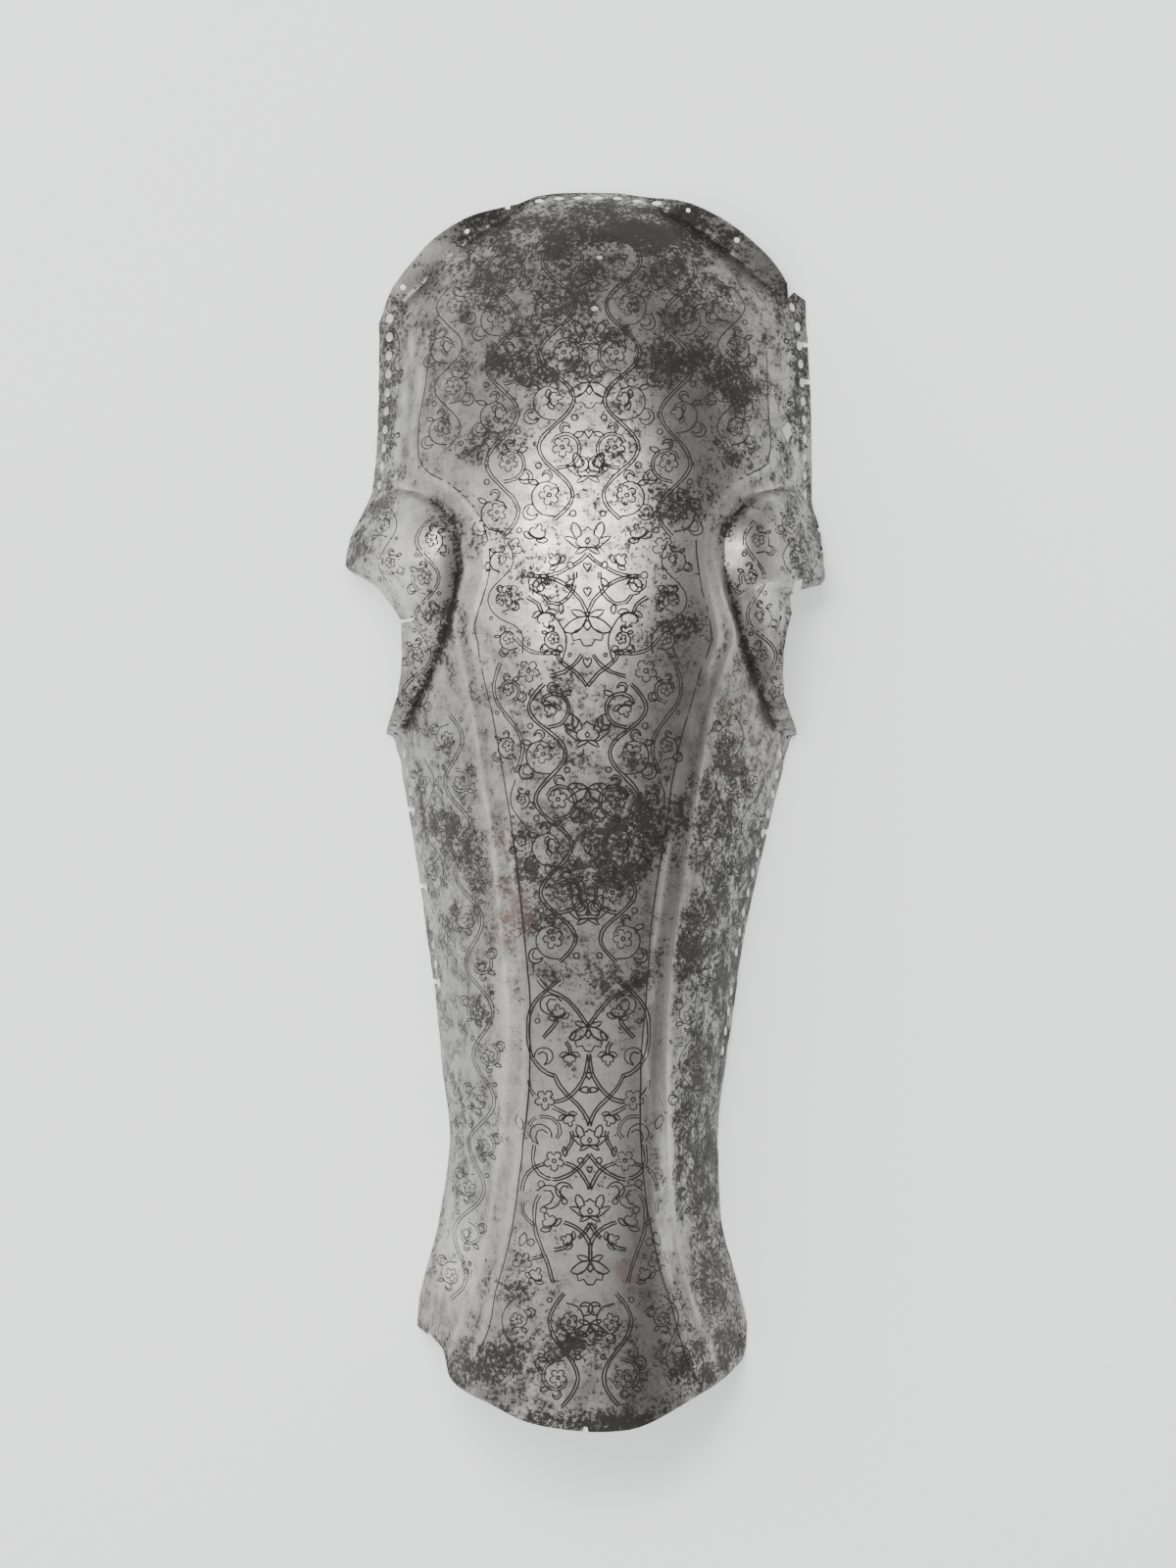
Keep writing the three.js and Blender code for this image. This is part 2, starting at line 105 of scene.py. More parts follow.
SIDES = (
    (-246, -79.3, 76.5),
    (-230, -77.5, 72.8),
    (-197, -69.2, 64.5),
    (-158, -63.6, 62.7),
    (-125, -67.3, 66),
    (-97, -69.6, 70.1),
    (-64, -74.2, 74.7),
    (-31, -78.8, 82.1),
    (13, -86.2, 93.1),
    (25, -88, 95),
    (33, -94.3, 100.5),
    (44, -90.8, 96.4),
    (55, -87.1, 93.1),
    (70, -85.3, 92.6),
    (85, -85.5, 95),
    (91, -88.5, 96.5),
    (99, -94, 95.6),
    (102, -96, 101),
    (105, -99.8, 112),
    (110, -109, 113),
    (113, -113, 112.6),
    (124, -111.2, 112),
    (132, -108.3, 110.7),
    (143, -102.9, 107.5),
    (150, -100.5, 107.2),
    (174, -98.3, 107.4),
    (218, -97.3, 105.6),
    (229, -97.3, 104.7),
)
EDGE_COLUMN_NAMES = "across along"
POLL_EDGE = (
    (-97.3, 229),
    (-95.4, 235),
    (-90.4, 246),
    (-82, 257),
    (-71.5, 268),
    (-53, 279),
    (-31, 285),
    (-23, 288.6),
    (-10, 290),
    (13, 290),
    (25, 288.6),
    (45, 286),
    (62, 279),
    (85, 262),
    (94, 251),
    (97, 245.5),
    (104.7, 240),
)
NOSE_EDGE = (
    (-79.3, -248),
    (-66.5, -256),
    (-63, -269),
    (-55, -274.5),
    (-44, -278.5),
    (-28, -285.4),
    (-16, -288),
    (6, -290),
    (18, -289.5),
    (49, -277.5),
    (74, -263.5),
    (77, -255.5),
)
HOOD_COLUMNS = "along left right rim swell turn"
HOODS = (
    (31, -88.5, 94.5, 8, 0, 1.2),
    (41, -82, 87, 23, 0, 1.3),
    (51, -77, 82.5, 34, 0.5, 1.3),
    (62, -71.3, 78.4, 42, 1, 1.4),
    (72, -67.6, 75.2, 45, 1.5, 1.4),
    (85, -62.7, 71.8, 44, 2.5, 1.6),
    (96, -60.5, 68.6, 37, 4, 1.9),
    (110, -58.8, 65, 20, 5, 2.2),
    (119, -58.5, 64.5, 13, 5, 2.3),
    (128, -59.5, 66, 8, 5, 2.3),
    (134, -62.5, 69.5, 5, 4.5, 2.3),
    (140, -68.5, 74.5, 3, 3.5, 2.3),
    (145, -76, 80.5, 1.5, 2, 2.3),
    (150, -92, 98, 0, 0, 2.3),
)
HOOD_START = 31
HOOD_END = 150
HOOD_BLEND = 7
CREASE_DEPTH = 2.2
CREASE_WIDTH = 4

GUIDE_COLUMNS = "along left_outer left_inner right_inner right_outer"
GUIDES = (
    (-290, -68, -56, 58, 67),
    (-246, -59.5, -47.5, 46.5, 55),
    (-185, -43.5, -34, 31.5, 40.5),
    (-115, -36.5, -27.5, 28.5, 37.5),
    (-35, -42, -33, 36, 45),
    (67, -58.5, -49.5, 56.5, 66),
    (115, -57.5, -46, 54, 65),
    (160, -60, -47, 53, 67),
    (290, -54, -40, 46, 60),
)

# The rounded ridges that border each band, from the nose, round the eye and up the brow.
BORDERS = {
    "left_outer": (
        (-66, -262), (-60.4, -247), (-55.3, -236.5), (-51.2, -224), (-47, -207.5),
        (-43.8, -189.5), (-41, -170), (-38.7, -157.7), (-37, -129), (-36, -104),
        (-36.9, -87.6), (-38.3, -69.6), (-43.3, -17.5), (-47.5, 7.4), (-50.7, 30.4),
        (-54, 48.4), (-57.2, 65), (-60.4, 83.9), (-59.5, 94), (-56.7, 102.4),
        (-55, 108.4), (-55.8, 116.2), (-57.2, 123.6), (-60.4, 130.5), (-65, 137.4),
        (-75.6, 145.2), (-85.8, 149.5), (-90, 156), (-87.6, 176.6), (-86.2, 187.6),
        (-80.7, 225),
    ),
    "left_inner": (
        (-53, -258), (-47, -243), (-43.8, -226), (-39.7, -211.6), (-36.4, -197.8),
        (-33.2, -177), (-30.9, -156.3), (-28.6, -135), (-27.9, -110), (-28.1, -83.5),
        (-31.8, -46), (-33.2, -33.7), (-36.7, -5), (-42, 25.4), (-45.2, 42.4),
        (-49.8, 62.7), (-52, 75.6), (-53.5, 81.6), (-50.4, 93.1), (-47.5, 102.4),
        (-45.9, 111.6), (-47.5, 123.6), (-51.2, 134.3), (-58, 143), (-66, 150),
        (-75, 155), (-80.2, 163), (-80.2, 180.7), (-77.9, 191.8), (-74.2, 223),
    ),
    "right_inner": (
        (57.2, -272.5), (52.1, -263.7), (47, -249), (42.4, -232.4), (37.3, -215.8),
        (34.1, -201.9), (31.4, -187.2), (29, -168.3), (28.1, -149.4), (28.1, -129),
        (29, -109.3), (31.5, -78), (33.5, -52), (39.2, -13.4), (42.4, 9.2),
        (47, 31.8), (52.6, 51.2), (56.2, 63.2), (61.1, 77), (60.4, 84), (58.8, 91.6),
        (56.5, 99.2), (54.6, 110), (53.7, 122.2), (55.8, 129.8), (60.4, 139),
        (68.7, 148), (80, 155), (88, 160), (89.8, 168.7), (88.5, 185), (87.8, 213.9),
    ),
    "right_outer": (
        (63.6, -268.8), (58.6, -253.6), (53, -242), (48, -226), (43.8, -207.5),
        (41.5, -191.3), (39.7, -177), (38.5, -145.2), (37.5, -118), (38, -95),
        (39.7, -71.5), (44.7, -36.4), (48.9, -10), (54, 23.5), (58.6, 47.5),
        (64.9, 65.6), (69.5, 78.6), (68.7, 84), (65.7, 91.6), (63, 99.2),
        (62.2, 107), (62.7, 114.5), (64.1, 122.2), (68.7, 134.3), (74.9, 141.3),
        (88.5, 149.8), (98, 152.5), (99.2, 168), (94.5, 226),
    ),
}
BAND_FLOOR = 0.4
# A place lies in a band where its distances to the two ridges add up to less than this.
BAND_SPAN = (12, 15)

FLANGE_COLUMNS = "across level upturn"
EAR_FLANGE = (
    (-98, 0, 0),
    (-88, 11, 3),
    (-65, 15, 4),
    (-36, 14, 3),
    (-24, 7, 0),
    (26, 7, 0),
    (40, 14, 3),
    (70, 15, 4),
    (92, 9, 2),
    (105, 0, 0),
)
EAR_FLANGE_WIDTH = 10
EAR_FILLET = 4

# Holes for the laces, evenly spaced along each run. A torn one has a second punch by it,
# nearer the edge, wider, and a share as long.
LACE_LENGTH = 4.6
TORN_SHIFT = 2.2
TORN_ALONG = 0.7
TORN_WIDER = 2.4
TORN_LENGTH = 0.55
LACE_RUNS = (
    {"side": "left", "first": 231, "last": 151.7, "count": 10, "missing": (), "torn": (),
     "insets": (4.6, 2.7), "widths": (3.6, 2)},
    {"side": "right", "first": 236, "last": 147.5, "count": 11, "missing": (0,), "torn": (2, 4),
     "insets": (4, 2.6), "widths": (3, 1.7)},
    {"side": "left", "first": 24.5, "last": -84.5, "count": 13, "missing": (), "torn": (3, 7, 12),
     "insets": (2, 1.8), "widths": (1.9, 1.6)},
    {"side": "right", "first": 24, "last": -116.5, "count": 16, "missing": (11,), "torn": (4,),
     "insets": (2.2, 1.8), "widths": (2, 1.4)},
)
POLL_LACES = {"first": -21.5, "last": 34, "count": 7, "inset": 2.4, "width": 4.6, "length": 2.2}
# Each hole: x, y, radius.
RIVET_HOLES = (
    (98.5, 236.5, 2.4),
    (-55.8, 271.6, 1.3),
    (-86.2, 245.3, 1.4),
    (71.9, 267.4, 1.4),
    (48.9, 281.5, 1.2),
    (6.9, 256, 1.7),
    (4.6, 231, 1.7),
    (90.8, 87.6, 1.4),
    (-89.6, 34.5, 1.3),
    (95.9, 33, 1.3),
    (-55.3, -267.4, 1.2),
    (72.6, -251.7, 1.1),
    (-100.2, 142.9, 2.2),
    (-105.3, 135.5, 2.2),
    (-107.6, 128.2, 2.2),
    (-103.7, 123.8, 1.3),
    (110.2, 131, 2.2),
    (111.5, 121, 2.2),
    (109.8, 117, 1.3),
    (95.4, 183.3, 0.9),
    (-79.8, 87.1, 1.8),
)
HOLE_SIDES = 14
DRILL_LENGTH = 8
NOTCHES = (
    ((-37.5, 282), (-35.4, 282), (-35.9, 291), (-38.6, 291)),
    ((-83.5, -262), (-81, -249), (-77.5, -252.5), (-76.6, -263)),
    ((-76.4, -263), (-74, -249.6), (-70, -253.5), (-70, -263)),
    ((-69.8, -266), (-66.4, -256.4), (-67.6, -260.5), (-64, -270), (-69.8, -275)),
    ((-0.4, -287.4), (1.2, -287.6), (2, -292), (-1.6, -292)),
    ((96.5, 240.8), (99, 243.2), (104, 250), (96, 250)),
    ((97.4, 100.2), (101.6, 99.6), (102, 106), (98, 104.4)),
    ((-87.5, 85.2), (-80, 86.2), (-80, 87.6), (-87.5, 86.8)),
    ((95.7, 181), (96.7, 180.2), (97.8, 178.7), (97.2, 177.2), (97.9, 175.6), (97, 174.1),
     (96.4, 173.3), (96, 171), (95.2, 172.6), (94.4, 172.9), (94.4, 174.1), (93.2, 175.6),
     (92.9, 177.5), (94.4, 178.7), (94.9, 179.6)),
)
FAR = 400

# Where dark patina has gathered, and where shade is painted on as patina; where a highlight is
# painted on; and where the steel is rusty.
# Each blotch: x, y, half its width, half its length, strength.
PATINA_AND_SHADE = (
    # The first two rows are painted shade on the rim at the poll, which slopes away from the
    # light.
    (1, 277, 75, 16, 0.75),
    (22, 268, 34, 9, 0.9),
    (0, 240, 95, 36, 0.4),
    (-36, 208, 18, 8, 0.75),
    (-24, 201, 12, 6, 0.8),
    (20, 217, 14, 7, 0.6),
    (47, 206, 20, 8, 0.8),
    (70, 196, 14, 12, 0.6),
    (-45, 171, 14, 11, 0.5),
    (10, 162, 13, 6, 0.55),
    (75, 163, 13, 9, 0.6),
    (43, 139, 25, 11, 0.55),
    (20, 120, 20, 15, 0.5),
    (-24, 106, 15, 13, 0.6),
    (-40, 121, 10, 13, 0.6),
    (38, 102, 15, 13, 0.55),
    (47, 84, 12, 8, 0.6),
    (-100, 141, 15, 6, 0.7),
    (-108, 122, 6, 14, 0.8),
    (-72, 84, 9, 12, 0.4),
    (-79, 57, 7, 14, 0.45),
    (108, 130, 7, 16, 0.7),
    (94, 84, 5, 16, 0.5),
    (-17, 56, 12, 8, 0.35),
    (-3, 23, 10, 6, 0.5),
    (29, 0, 22, 15, 0.65),
    (11, -13, 20, 11, 0.6),
    (-26, -32, 9, 8, 1.0),
    (-24, -53, 13, 7, 0.9),
    (1, -32, 22, 13, 0.6),
    (20, -27, 14, 11, 0.6),
    (43, -18, 13, 14, 0.5),
    (1, -78, 30, 7, 0.45),
    (24, -83, 14, 9, 0.5),
    (47, -64, 9, 16, 0.5),
    (-68, -4, 10, 13, 0.65),
    (-58, -18, 9, 10, 0.5),
    (-71, -60, 8, 24, 0.45),
    (-49, -96, 7, 12, 0.45),
    (-60, -152, 6, 24, 0.5),
    (-54, -216, 13, 6, 0.45),
    # These five rows are painted shade down the right cheek, which the light from the left leaves
    # darker.
    (70, 25, 12, 28, 0.55),
    (72, -20, 14, 34, 0.6),
    (64, -85, 14, 45, 0.7),
    (56, -152, 13, 45, 0.7),
    (62, -222, 14, 34, 0.7),
    (-36, -225, 12, 6, 0.6),
    (-3, -249, 25, 7, 0.85),
    (-26, -254, 20, 7, 0.6),
    (24, -262, 16, 7, 0.5),
    (-48, -262, 14, 8, 0.6),
    (0, -285, 55, 6, 0.9),
    (-72, -250, 8, 9, 0.6),
    (50, -268, 15, 9, 0.75),
    (70, -254, 10, 12, 0.7),
    (-93, 185, 6, 42, 0.55),
    (101, 185, 7, 44, 0.65),
)
# Painted highlights, where the lights reflect: across the brow, on the hoods and the flange, down
# the nose and along the bands.
PAINTED_HIGHLIGHTS = (
    (-5, 118, 52, 42, 1.0),
    (-84, 116, 14, 20, 1.0),
    (-75, 75, 10, 24, 0.5),
    (82, 104, 11, 22, 0.9),
    (62, 108, 6, 22, 0.8),
    (-71, 262, 15, 9, 0.9),
    (0, -160, 28, 65, 0.55),
    (-60, -214, 12, 24, 0.75),
    (-36, -110, 7, 80, 0.4),
    (38, -150, 4, 90, 0.6),
)
RUST = (
    (-34, -52, 9, 16, 1.0),
    (-36, -20, 6, 12, 0.6),
    (20, -217, 11, 8, 0.9),
    (75, 37, 14, 22, 0.6),
    (-66, -238, 16, 14, 0.4),
    (60, -235, 16, 26, 0.4),
    (5, 125, 30, 14, 0.35),
)


def column(rows, names, name):
    """One named column of a table."""
    return np.array([row[names.split().index(name)] for row in rows], dtype=float)


def graph(rows, names, start, end):
    """A smooth graph through two columns of a table that never overshoots their values."""
    xs = column(rows, names, start)
    ys = column(rows, names, end)
    slopes = np.diff(ys) / np.diff(xs)
    before = np.concatenate((slopes[:1], slopes))
    after = np.concatenate((slopes, slopes[-1:]))
    same_way = before * after > 0
    total = np.where(same_way, before + after, 1)
    tangents = np.where(same_way, 2 * before * after / total, 0)

    def at(x):
        x = np.clip(x, xs[0], xs[-1])
        i = np.clip(np.searchsorted(xs, x, side="right") - 1, 0, len(slopes) - 1)
        width = xs[i + 1] - xs[i]
        s = (x - xs[i]) / width
        ease = s * s * (3 - 2 * s)
        leave = s * (1 - s) ** 2 * width * tangents[i]
        arrive = s * s * (1 - s) * width * tangents[i + 1]
        return ys[i] + (ys[i + 1] - ys[i]) * ease + leave - arrive

    return at


def graphs(rows, names):
    """A graph of every column of a table against its first."""
    first, *others = names.split()
    return {name: graph(rows, names, first, name) for name in others}


vault = graphs(VAULT, VAULT_COLUMNS)
sides = graphs(SIDES, SIDES_COLUMNS)
hoods = graphs(HOODS, HOOD_COLUMNS)
guides = graphs(GUIDES, GUIDE_COLUMNS)
flange = graphs(EAR_FLANGE, FLANGE_COLUMNS)
poll_edge = graph(POLL_EDGE, EDGE_COLUMN_NAMES, "across", "along")
nose_edge = graph(NOSE_EDGE, EDGE_COLUMN_NAMES, "across", "along")


def lerp(a, b, t):
    return a + (b - a) * t


def smoothstep(x, low, high):
    t = np.clip((x - low) / (high - low), 0, 1)
    return t * t * (3 - 2 * t)


def smooth_line(knots, step, closed=False):
    """Points about one step apart on a smooth curve through the knots."""
    knots = [Vector((float(x), float(y))) for x, y in knots]
    count = len(knots)
    if count == 2 and not closed:
        spare = [knots[0] * 2 - knots[1], *knots, knots[1] * 2 - knots[0]]
    elif closed:
        spare = [knots[-1], *knots, knots[0], knots[1]]
    else:
        spare = [knots[0] * 2 - knots[1], *knots, knots[-1] * 2 - knots[-2]]
    points = []
    for a, b, c, d in zip(spare, spare[1:], spare[2:], spare[3:]):
        pieces = max(1, round((c - b).length / step))
        for i in range(pieces):
            t = i / pieces
            ahead = (c - a) * t + (2 * a - 5 * b + 4 * c - d) * t**2
            points.append(b + (ahead + (3 * b - a - 3 * c + d) * t**3) / 2)
    points.append(points[0] if closed else knots[-1])
    return np.array([point[:] for point in points])


def distance_to(line, x, y):
    """How far each place lies from a line of short straight steps."""
    least = np.full(np.shape(x), np.inf)
    for (ax, ay), (bx, by) in zip(line, line[1:]):
        length = (bx - ax) ** 2 + (by - ay) ** 2
        t = np.clip(((x - ax) * (bx - ax) + (y - ay) * (by - ay)) / length, 0, 1)
        least = np.minimum(least, np.hypot(x - lerp(ax, bx, t), y - lerp(ay, by, t)))
    return least


BORDER_STEP = 4
border_lines = {name: smooth_line(knots, BORDER_STEP) for name, knots in BORDERS.items()}


def soft_max(a, b, radius):
    overlap = np.maximum(radius - np.abs(a - b), 0) / radius
    return np.maximum(a, b) + overlap**2 * radius / 4


def vault_height(x, y):
    middle = vault["middle"](y)
    side = np.where(x < middle, vault["left"](y), vault["right"](y))
    reach = np.clip((x - middle) / (side - middle), 0, 1.2)
    rim = vault["rim"](y)
    return rim + (vault["crown"](y) - rim) * (1 - reach ** vault["fullness"](y))


def by_side(x, table, y):
    """The left or right column of a table, whichever side of the head a place is on."""
    return np.where(x < 0, table["left"](y), table["right"](y))


def hood_height(x, y):
    crease = by_side(x, hoods, y)
    across = np.clip((x - crease) / (by_side(x, sides, y) - crease), 0, 1)
    start = vault_height(crease, y)
    fall = (hoods["rim"](y) - start) * across ** hoods["turn"](y)
    return start + fall + hoods["swell"](y) * 4 * across * (1 - across)


def past_crease(x, y):
    """How far outside its hood's crease a place lies, and how fully there is a hood."""
    past = (x - by_side(x, hoods, y)) * np.sign(x)
    here = smoothstep(y, HOOD_START, HOOD_START + HOOD_BLEND)
    return past, here * (1 - smoothstep(y, HOOD_END - HOOD_BLEND, HOOD_END))


def body_height(x, y):
    plain = vault_height(x, y)
    past, here = past_crease(x, y)
    crease = CREASE_DEPTH * here * np.exp(-((past / CREASE_WIDTH) ** 2))
    hooded = lerp(plain, hood_height(x, y), here)
    return np.where(past > 0, hooded, plain) - crease


def flange_height(x, y):
    lean = (poll_edge(x + 1) - poll_edge(x - 1)) / 2
    inset = np.maximum(poll_edge(x) - y, 0) / np.hypot(1, lean)
    beyond = np.maximum(inset - EAR_FLANGE_WIDTH, 0)
    return flange["level"](x) + flange["upturn"](x) * (1 - inset / EAR_FLANGE_WIDTH) - beyond


def ridge_share(x, y, width):
    """1 on the top of a border ridge, falling to 0 beside it."""
    nearest = np.min([distance_to(line, x, y) for line in border_lines.values()], axis=0)
    return np.exp(-((nearest / width) ** 2))


def band_share(x, y):
    """1 between the two ridges of a band, 0 outside them."""
    spans = []
    for side in ("left", "right"):
        outer = distance_to(border_lines[f"{side}_outer"], x, y)
        inner = distance_to(border_lines[f"{side}_inner"], x, y)
        spans.append(outer + inner)
    return 1 - smoothstep(np.min(spans, axis=0), *BAND_SPAN)


def height(x, y, ridge_height, ridge_width):
    """Height of the middle of the sheet's thickness."""
    ridges = ridge_height * ridge_share(x, y, ridge_width)
    body = body_height(x, y) + np.maximum(ridges, BAND_FLOOR * band_share(x, y))
    return np.where(y > FAN_POLL, soft_max(body, flange_height(x, y), EAR_FILLET), body)


def crease_share(side, along):
    """How far in from the edge the crease runs, as a share of the way to the band."""
    at = np.clip(along, HOOD_START, HOOD_END)
    edge = sides[side](at)
    share = (hoods[side](at) - edge) / (guides[f"{side}_outer"](at) - edge)
    return lerp(share, CREASE_SHARE, smoothstep(HOOD_START - along, 0, CREASE_RUN_OUT))


def column_stops(side, along):
    """The places that a side's columns are spread between, from its edge inwards."""
    edge = sides[side](np.clip(along, NOSE_CORNER, BROW_CORNER))
    outer = guides[f"{side}_outer"](along)
    inner = guides[f"{side}_inner"](along)
    return edge, lerp(edge, outer, crease_share(side, along)), outer, inner


def column_at(step, along):
    """Where the columns cross one station along the head."""
    left = column_stops("left", along)
    right = column_stops("right", along)
    stops = [*left, *reversed(right)]
    widths = (EDGE_COLUMNS, CREASE_COLUMNS, BAND_COLUMNS, FIELD_COLUMNS)
    widths = (*widths, BAND_COLUMNS, CREASE_COLUMNS, EDGE_COLUMNS)
    place = np.broadcast_to(stops[0], np.shape(step)).astype(float)
    done = 0
    for start, end, width in zip(stops, stops[1:], widths):
        share = np.clip((step - done) / width, 0, 1)
        place = np.where(step >= done, lerp(start, end, share), place)
        done += width
    return place


def place_of(step, row):
    """Rows run straight across the middle of the sheet and fan out to meet its ends."""
    stations = [NOSE_END]
    for end, rows in BAYS:
        stations.extend(np.linspace(stations[-1], end, rows + 1)[1:])
    station = np.array(stations)[row.astype(int)]
    poll = poll_edge(column_at(step, np.full(step.shape, float(BROW_CORNER))))
    nose = nose_edge(column_at(step, np.full(step.shape, float(NOSE_CORNER))))
    to_poll = (station - FAN_POLL) / (POLL_END - FAN_POLL)
    to_nose = (station - FAN_NOSE) / (NOSE_END - FAN_NOSE)
    y = np.where(station > FAN_POLL, lerp(FAN_POLL, poll, to_poll), station)
    y = np.where(station < FAN_NOSE, lerp(FAN_NOSE, nose, to_nose), y)
    return column_at(step, np.clip(y, NOSE_CORNER, BROW_CORNER)), y


def blotches(rows, x, y):
    """How strongly a table's soft blotches cover each place, from 0 to 1."""
    clear = np.ones(np.shape(x))
    for cx, cy, half_width, half_length, strength in rows:
        away = ((x - cx) / half_width) ** 2 + ((y - cy) / half_length) ** 2
        clear *= 1 - strength * np.exp(-away)
    return 1 - clear


def new_object(name, mesh):
    piece = bpy.data.objects.new(name, mesh)
    bpy.context.scene.collection.objects.link(piece)
    return piece


def applied(piece):
    """The piece's mesh with its modifiers carried out."""
    depsgraph = bpy.context.evaluated_depsgraph_get()
    mesh = bpy.data.meshes.new_from_object(piece.evaluated_get(depsgraph))
    piece.modifiers.clear()
    old = piece.data
    piece.data = mesh
    bpy.data.meshes.remove(old)
    return mesh


def cut(piece, cutter):
    """Cuts another mesh out of a piece, and throws it away."""
    boolean = piece.modifiers.new("cut", "BOOLEAN")
    boolean.operation = "DIFFERENCE"
    boolean.solver = "MANIFOLD"
    boolean.object = cutter
    applied(piece)
    mesh = cutter.data
    bpy.data.objects.remove(cutter)
    bpy.data.meshes.remove(mesh)


# The hammer's waves: their length, their share of the depth, their slice of the noise.
HAMMER_WAVES = ((38, 1, 3.1), (13, 0.35, 7.7))

# The free edge wanders this far, over this many columns and at these lengths.
RAGGED_DEPTH = 0.45
RAGGED_COLUMNS = 4
RAGGED_SLICE = 0.3
RAGGED_ALONG = 5.5
RAGGED_ACROSS = 90

INSIDE_KEPT = 0.6


def hammering(x, y, depth):
    """The gentle waviness that the raising hammer leaves."""
    total = np.zeros(len(x))
    for length, share, level in HAMMER_WAVES:
        waves = [noise.noise(Vector((px / length, py / length, level))) for px, py in zip(x, y)]
        total += share * np.array(waves)
    return depth * total


def ragged(x, y, step):
    """Small wanders of the sheet's free edge, which die away over a few columns."""
    near = np.clip(1 - np.minimum(step, COLUMNS - step) / RAGGED_COLUMNS, 0, 1)
    places = [(RAGGED_SLICE, py / RAGGED_ALONG, px / RAGGED_ACROSS) for px, py in zip(x, y)]
    return x + RAGGED_DEPTH * near * np.array([noise.noise(Vector(place)) for place in places])


def sheet_object(sheet):
    """A flat grid of squares, bent to the shape of the plate and given its thickness."""
    rows = sum(count for _, count in BAYS)
    bm = bmesh.new()
    bmesh.ops.create_grid(bm, x_segments=COLUMNS, y_segments=rows, size=1)
    flat = np.array([vert.co[:2] for vert in bm.verts])
    step = np.rint((flat[:, 0] + 1) / 2 * COLUMNS)
    row = np.rint((flat[:, 1] + 1) / 2 * rows)
    x, y = place_of(step, row)
    x = ragged(x, y, step)
    z = height(x, y, sheet.ridge_height / MM, sheet.ridge_width / MM)
    z = z + hammering(x, y, sheet.hammer_depth / MM)
    for vert, place in zip(bm.verts, np.column_stack((x, y, z)) * MM):
        vert.co = place
    mesh = bpy.data.meshes.new("shaffron")
    bm.to_mesh(mesh)
    bm.free()
    piece = new_object("shaffron", mesh)
    inside = piece.vertex_groups.new(name="inside")
    wall = piece.modifiers.new("thickness", "SOLIDIFY")
    wall.thickness = sheet.thickness
    wall.offset = 0
    wall.use_even_offset = True
    wall.shell_vertex_group = inside.name
    thin = piece.modifiers.new("fewer faces inside", "DECIMATE")
    thin.vertex_group = inside.name
    thin.ratio = INSIDE_KEPT
    thin.vertex_group_factor = 1
    applied(piece)
    return piece


class Surface:
    """The sheet's outer face, for laying lines on."""

    def __init__(self, piece):
        self.tree = BVHTree.FromObject(piece, bpy.context.evaluated_depsgraph_get())

    def at(self, x, y):
        above = Vector((x * MM, y * MM, FAR * MM))
        return self.tree.ray_cast(above, Vector((0, 0, -1)))[:2]


def plain_height(x, y):
    """Height of the sheet at one place, leaving out its border ridges."""
    return float(height(x, y, 0, 1))


def outward(x, y):
    """The way that the sheet's outer face looks at one place."""
    rise = plain_height(x + 0.5, y) - plain_height(x - 0.5, y)
    climb = plain_height(x, y + 0.5) - plain_height(x, y - 0.5)
    return Vector((-rise, -climb, 1)).normalized()


def punch(bm, radius, depth, matrix):
    bmesh.ops.create_cone(
        bm,
        cap_ends=True,
        segments=HOLE_SIDES,
        radius1=radius,
        radius2=radius,
        depth=depth,
        matrix=matrix,
    )


def drill(bm, x, y, radius):
    """A round drill, square to the sheet."""
    place = Vector((x, y, plain_height(x, y))) * MM
    turn = Vector((0, 0, 1)).rotation_difference(outward(x, y)).to_matrix().to_4x4()
    punch(bm, radius * MM, DRILL_LENGTH * MM, Matrix.Translation(place) @ turn)


def oval(bm, x, y, width, length):
    """An upright oval punch, as wide and long as the hole looks from above."""
    size = Matrix.Diagonal((width * MM, length * MM, 2 * FAR * MM, 1))
    punch(bm, 0.5, 1, Matrix.Translation((x * MM, y * MM, 0)) @ size)


def drill_objects():
    """Two sets of drills, so that a torn hole's drills don't meet in one set."""
    whole, torn = bmesh.new(), bmesh.new()
    for run in LACE_RUNS:
        for i in range(run["count"]):
            share = i / (run["count"] - 1)
            along = lerp(run["first"], run["last"], share)
            edge = float(sides[run["side"]](along))
            inward = -math.copysign(1, edge)
            inset, width = lerp(*run["insets"], share), lerp(*run["widths"], share)
            if i not in run["missing"]:
                oval(whole, edge + inward * inset, along, width, LACE_LENGTH)
            if i in run["torn"]:
                x = edge + inward * (inset - TORN_SHIFT)
                oval(torn, x, along + TORN_ALONG, width + TORN_WIDER, LACE_LENGTH * TORN_LENGTH)
    for i in range(POLL_LACES["count"]):
        x = lerp(POLL_LACES["first"], POLL_LACES["last"], i / (POLL_LACES["count"] - 1))
        y = float(poll_edge(x)) - POLL_LACES["inset"]
        oval(whole, x, y, POLL_LACES["width"], POLL_LACES["length"])
    for i, (x, y, radius) in enumerate(RIVET_HOLES):
        drill(torn if i % 2 else whole, x, y, radius)
    return [object_from("drills", whole), object_from("torn_drills", torn)]


def object_from(name, bm):
    mesh = bpy.data.meshes.new(name)
    bm.to_mesh(mesh)
    bm.free()
    return new_object(name, mesh)


def notches_object():
    """Tall prisms over the outlines of the torn notches."""
    bm = bmesh.new()
    for outline in NOTCHES:
        corners = [bm.verts.new((x * MM, y * MM, -FAR * MM)) for x, y in outline]
        face = bm.faces.new(corners)
        lifted = bmesh.ops.extrude_face_region(bm, geom=[face])["geom"]
        tops = [item for item in lifted if isinstance(item, bmesh.types.BMVert)]
        bmesh.ops.translate(bm, verts=tops, vec=(0, 0, 2 * FAR * MM))
    bmesh.ops.recalc_face_normals(bm, faces=bm.faces)
    return object_from("notches", bm)


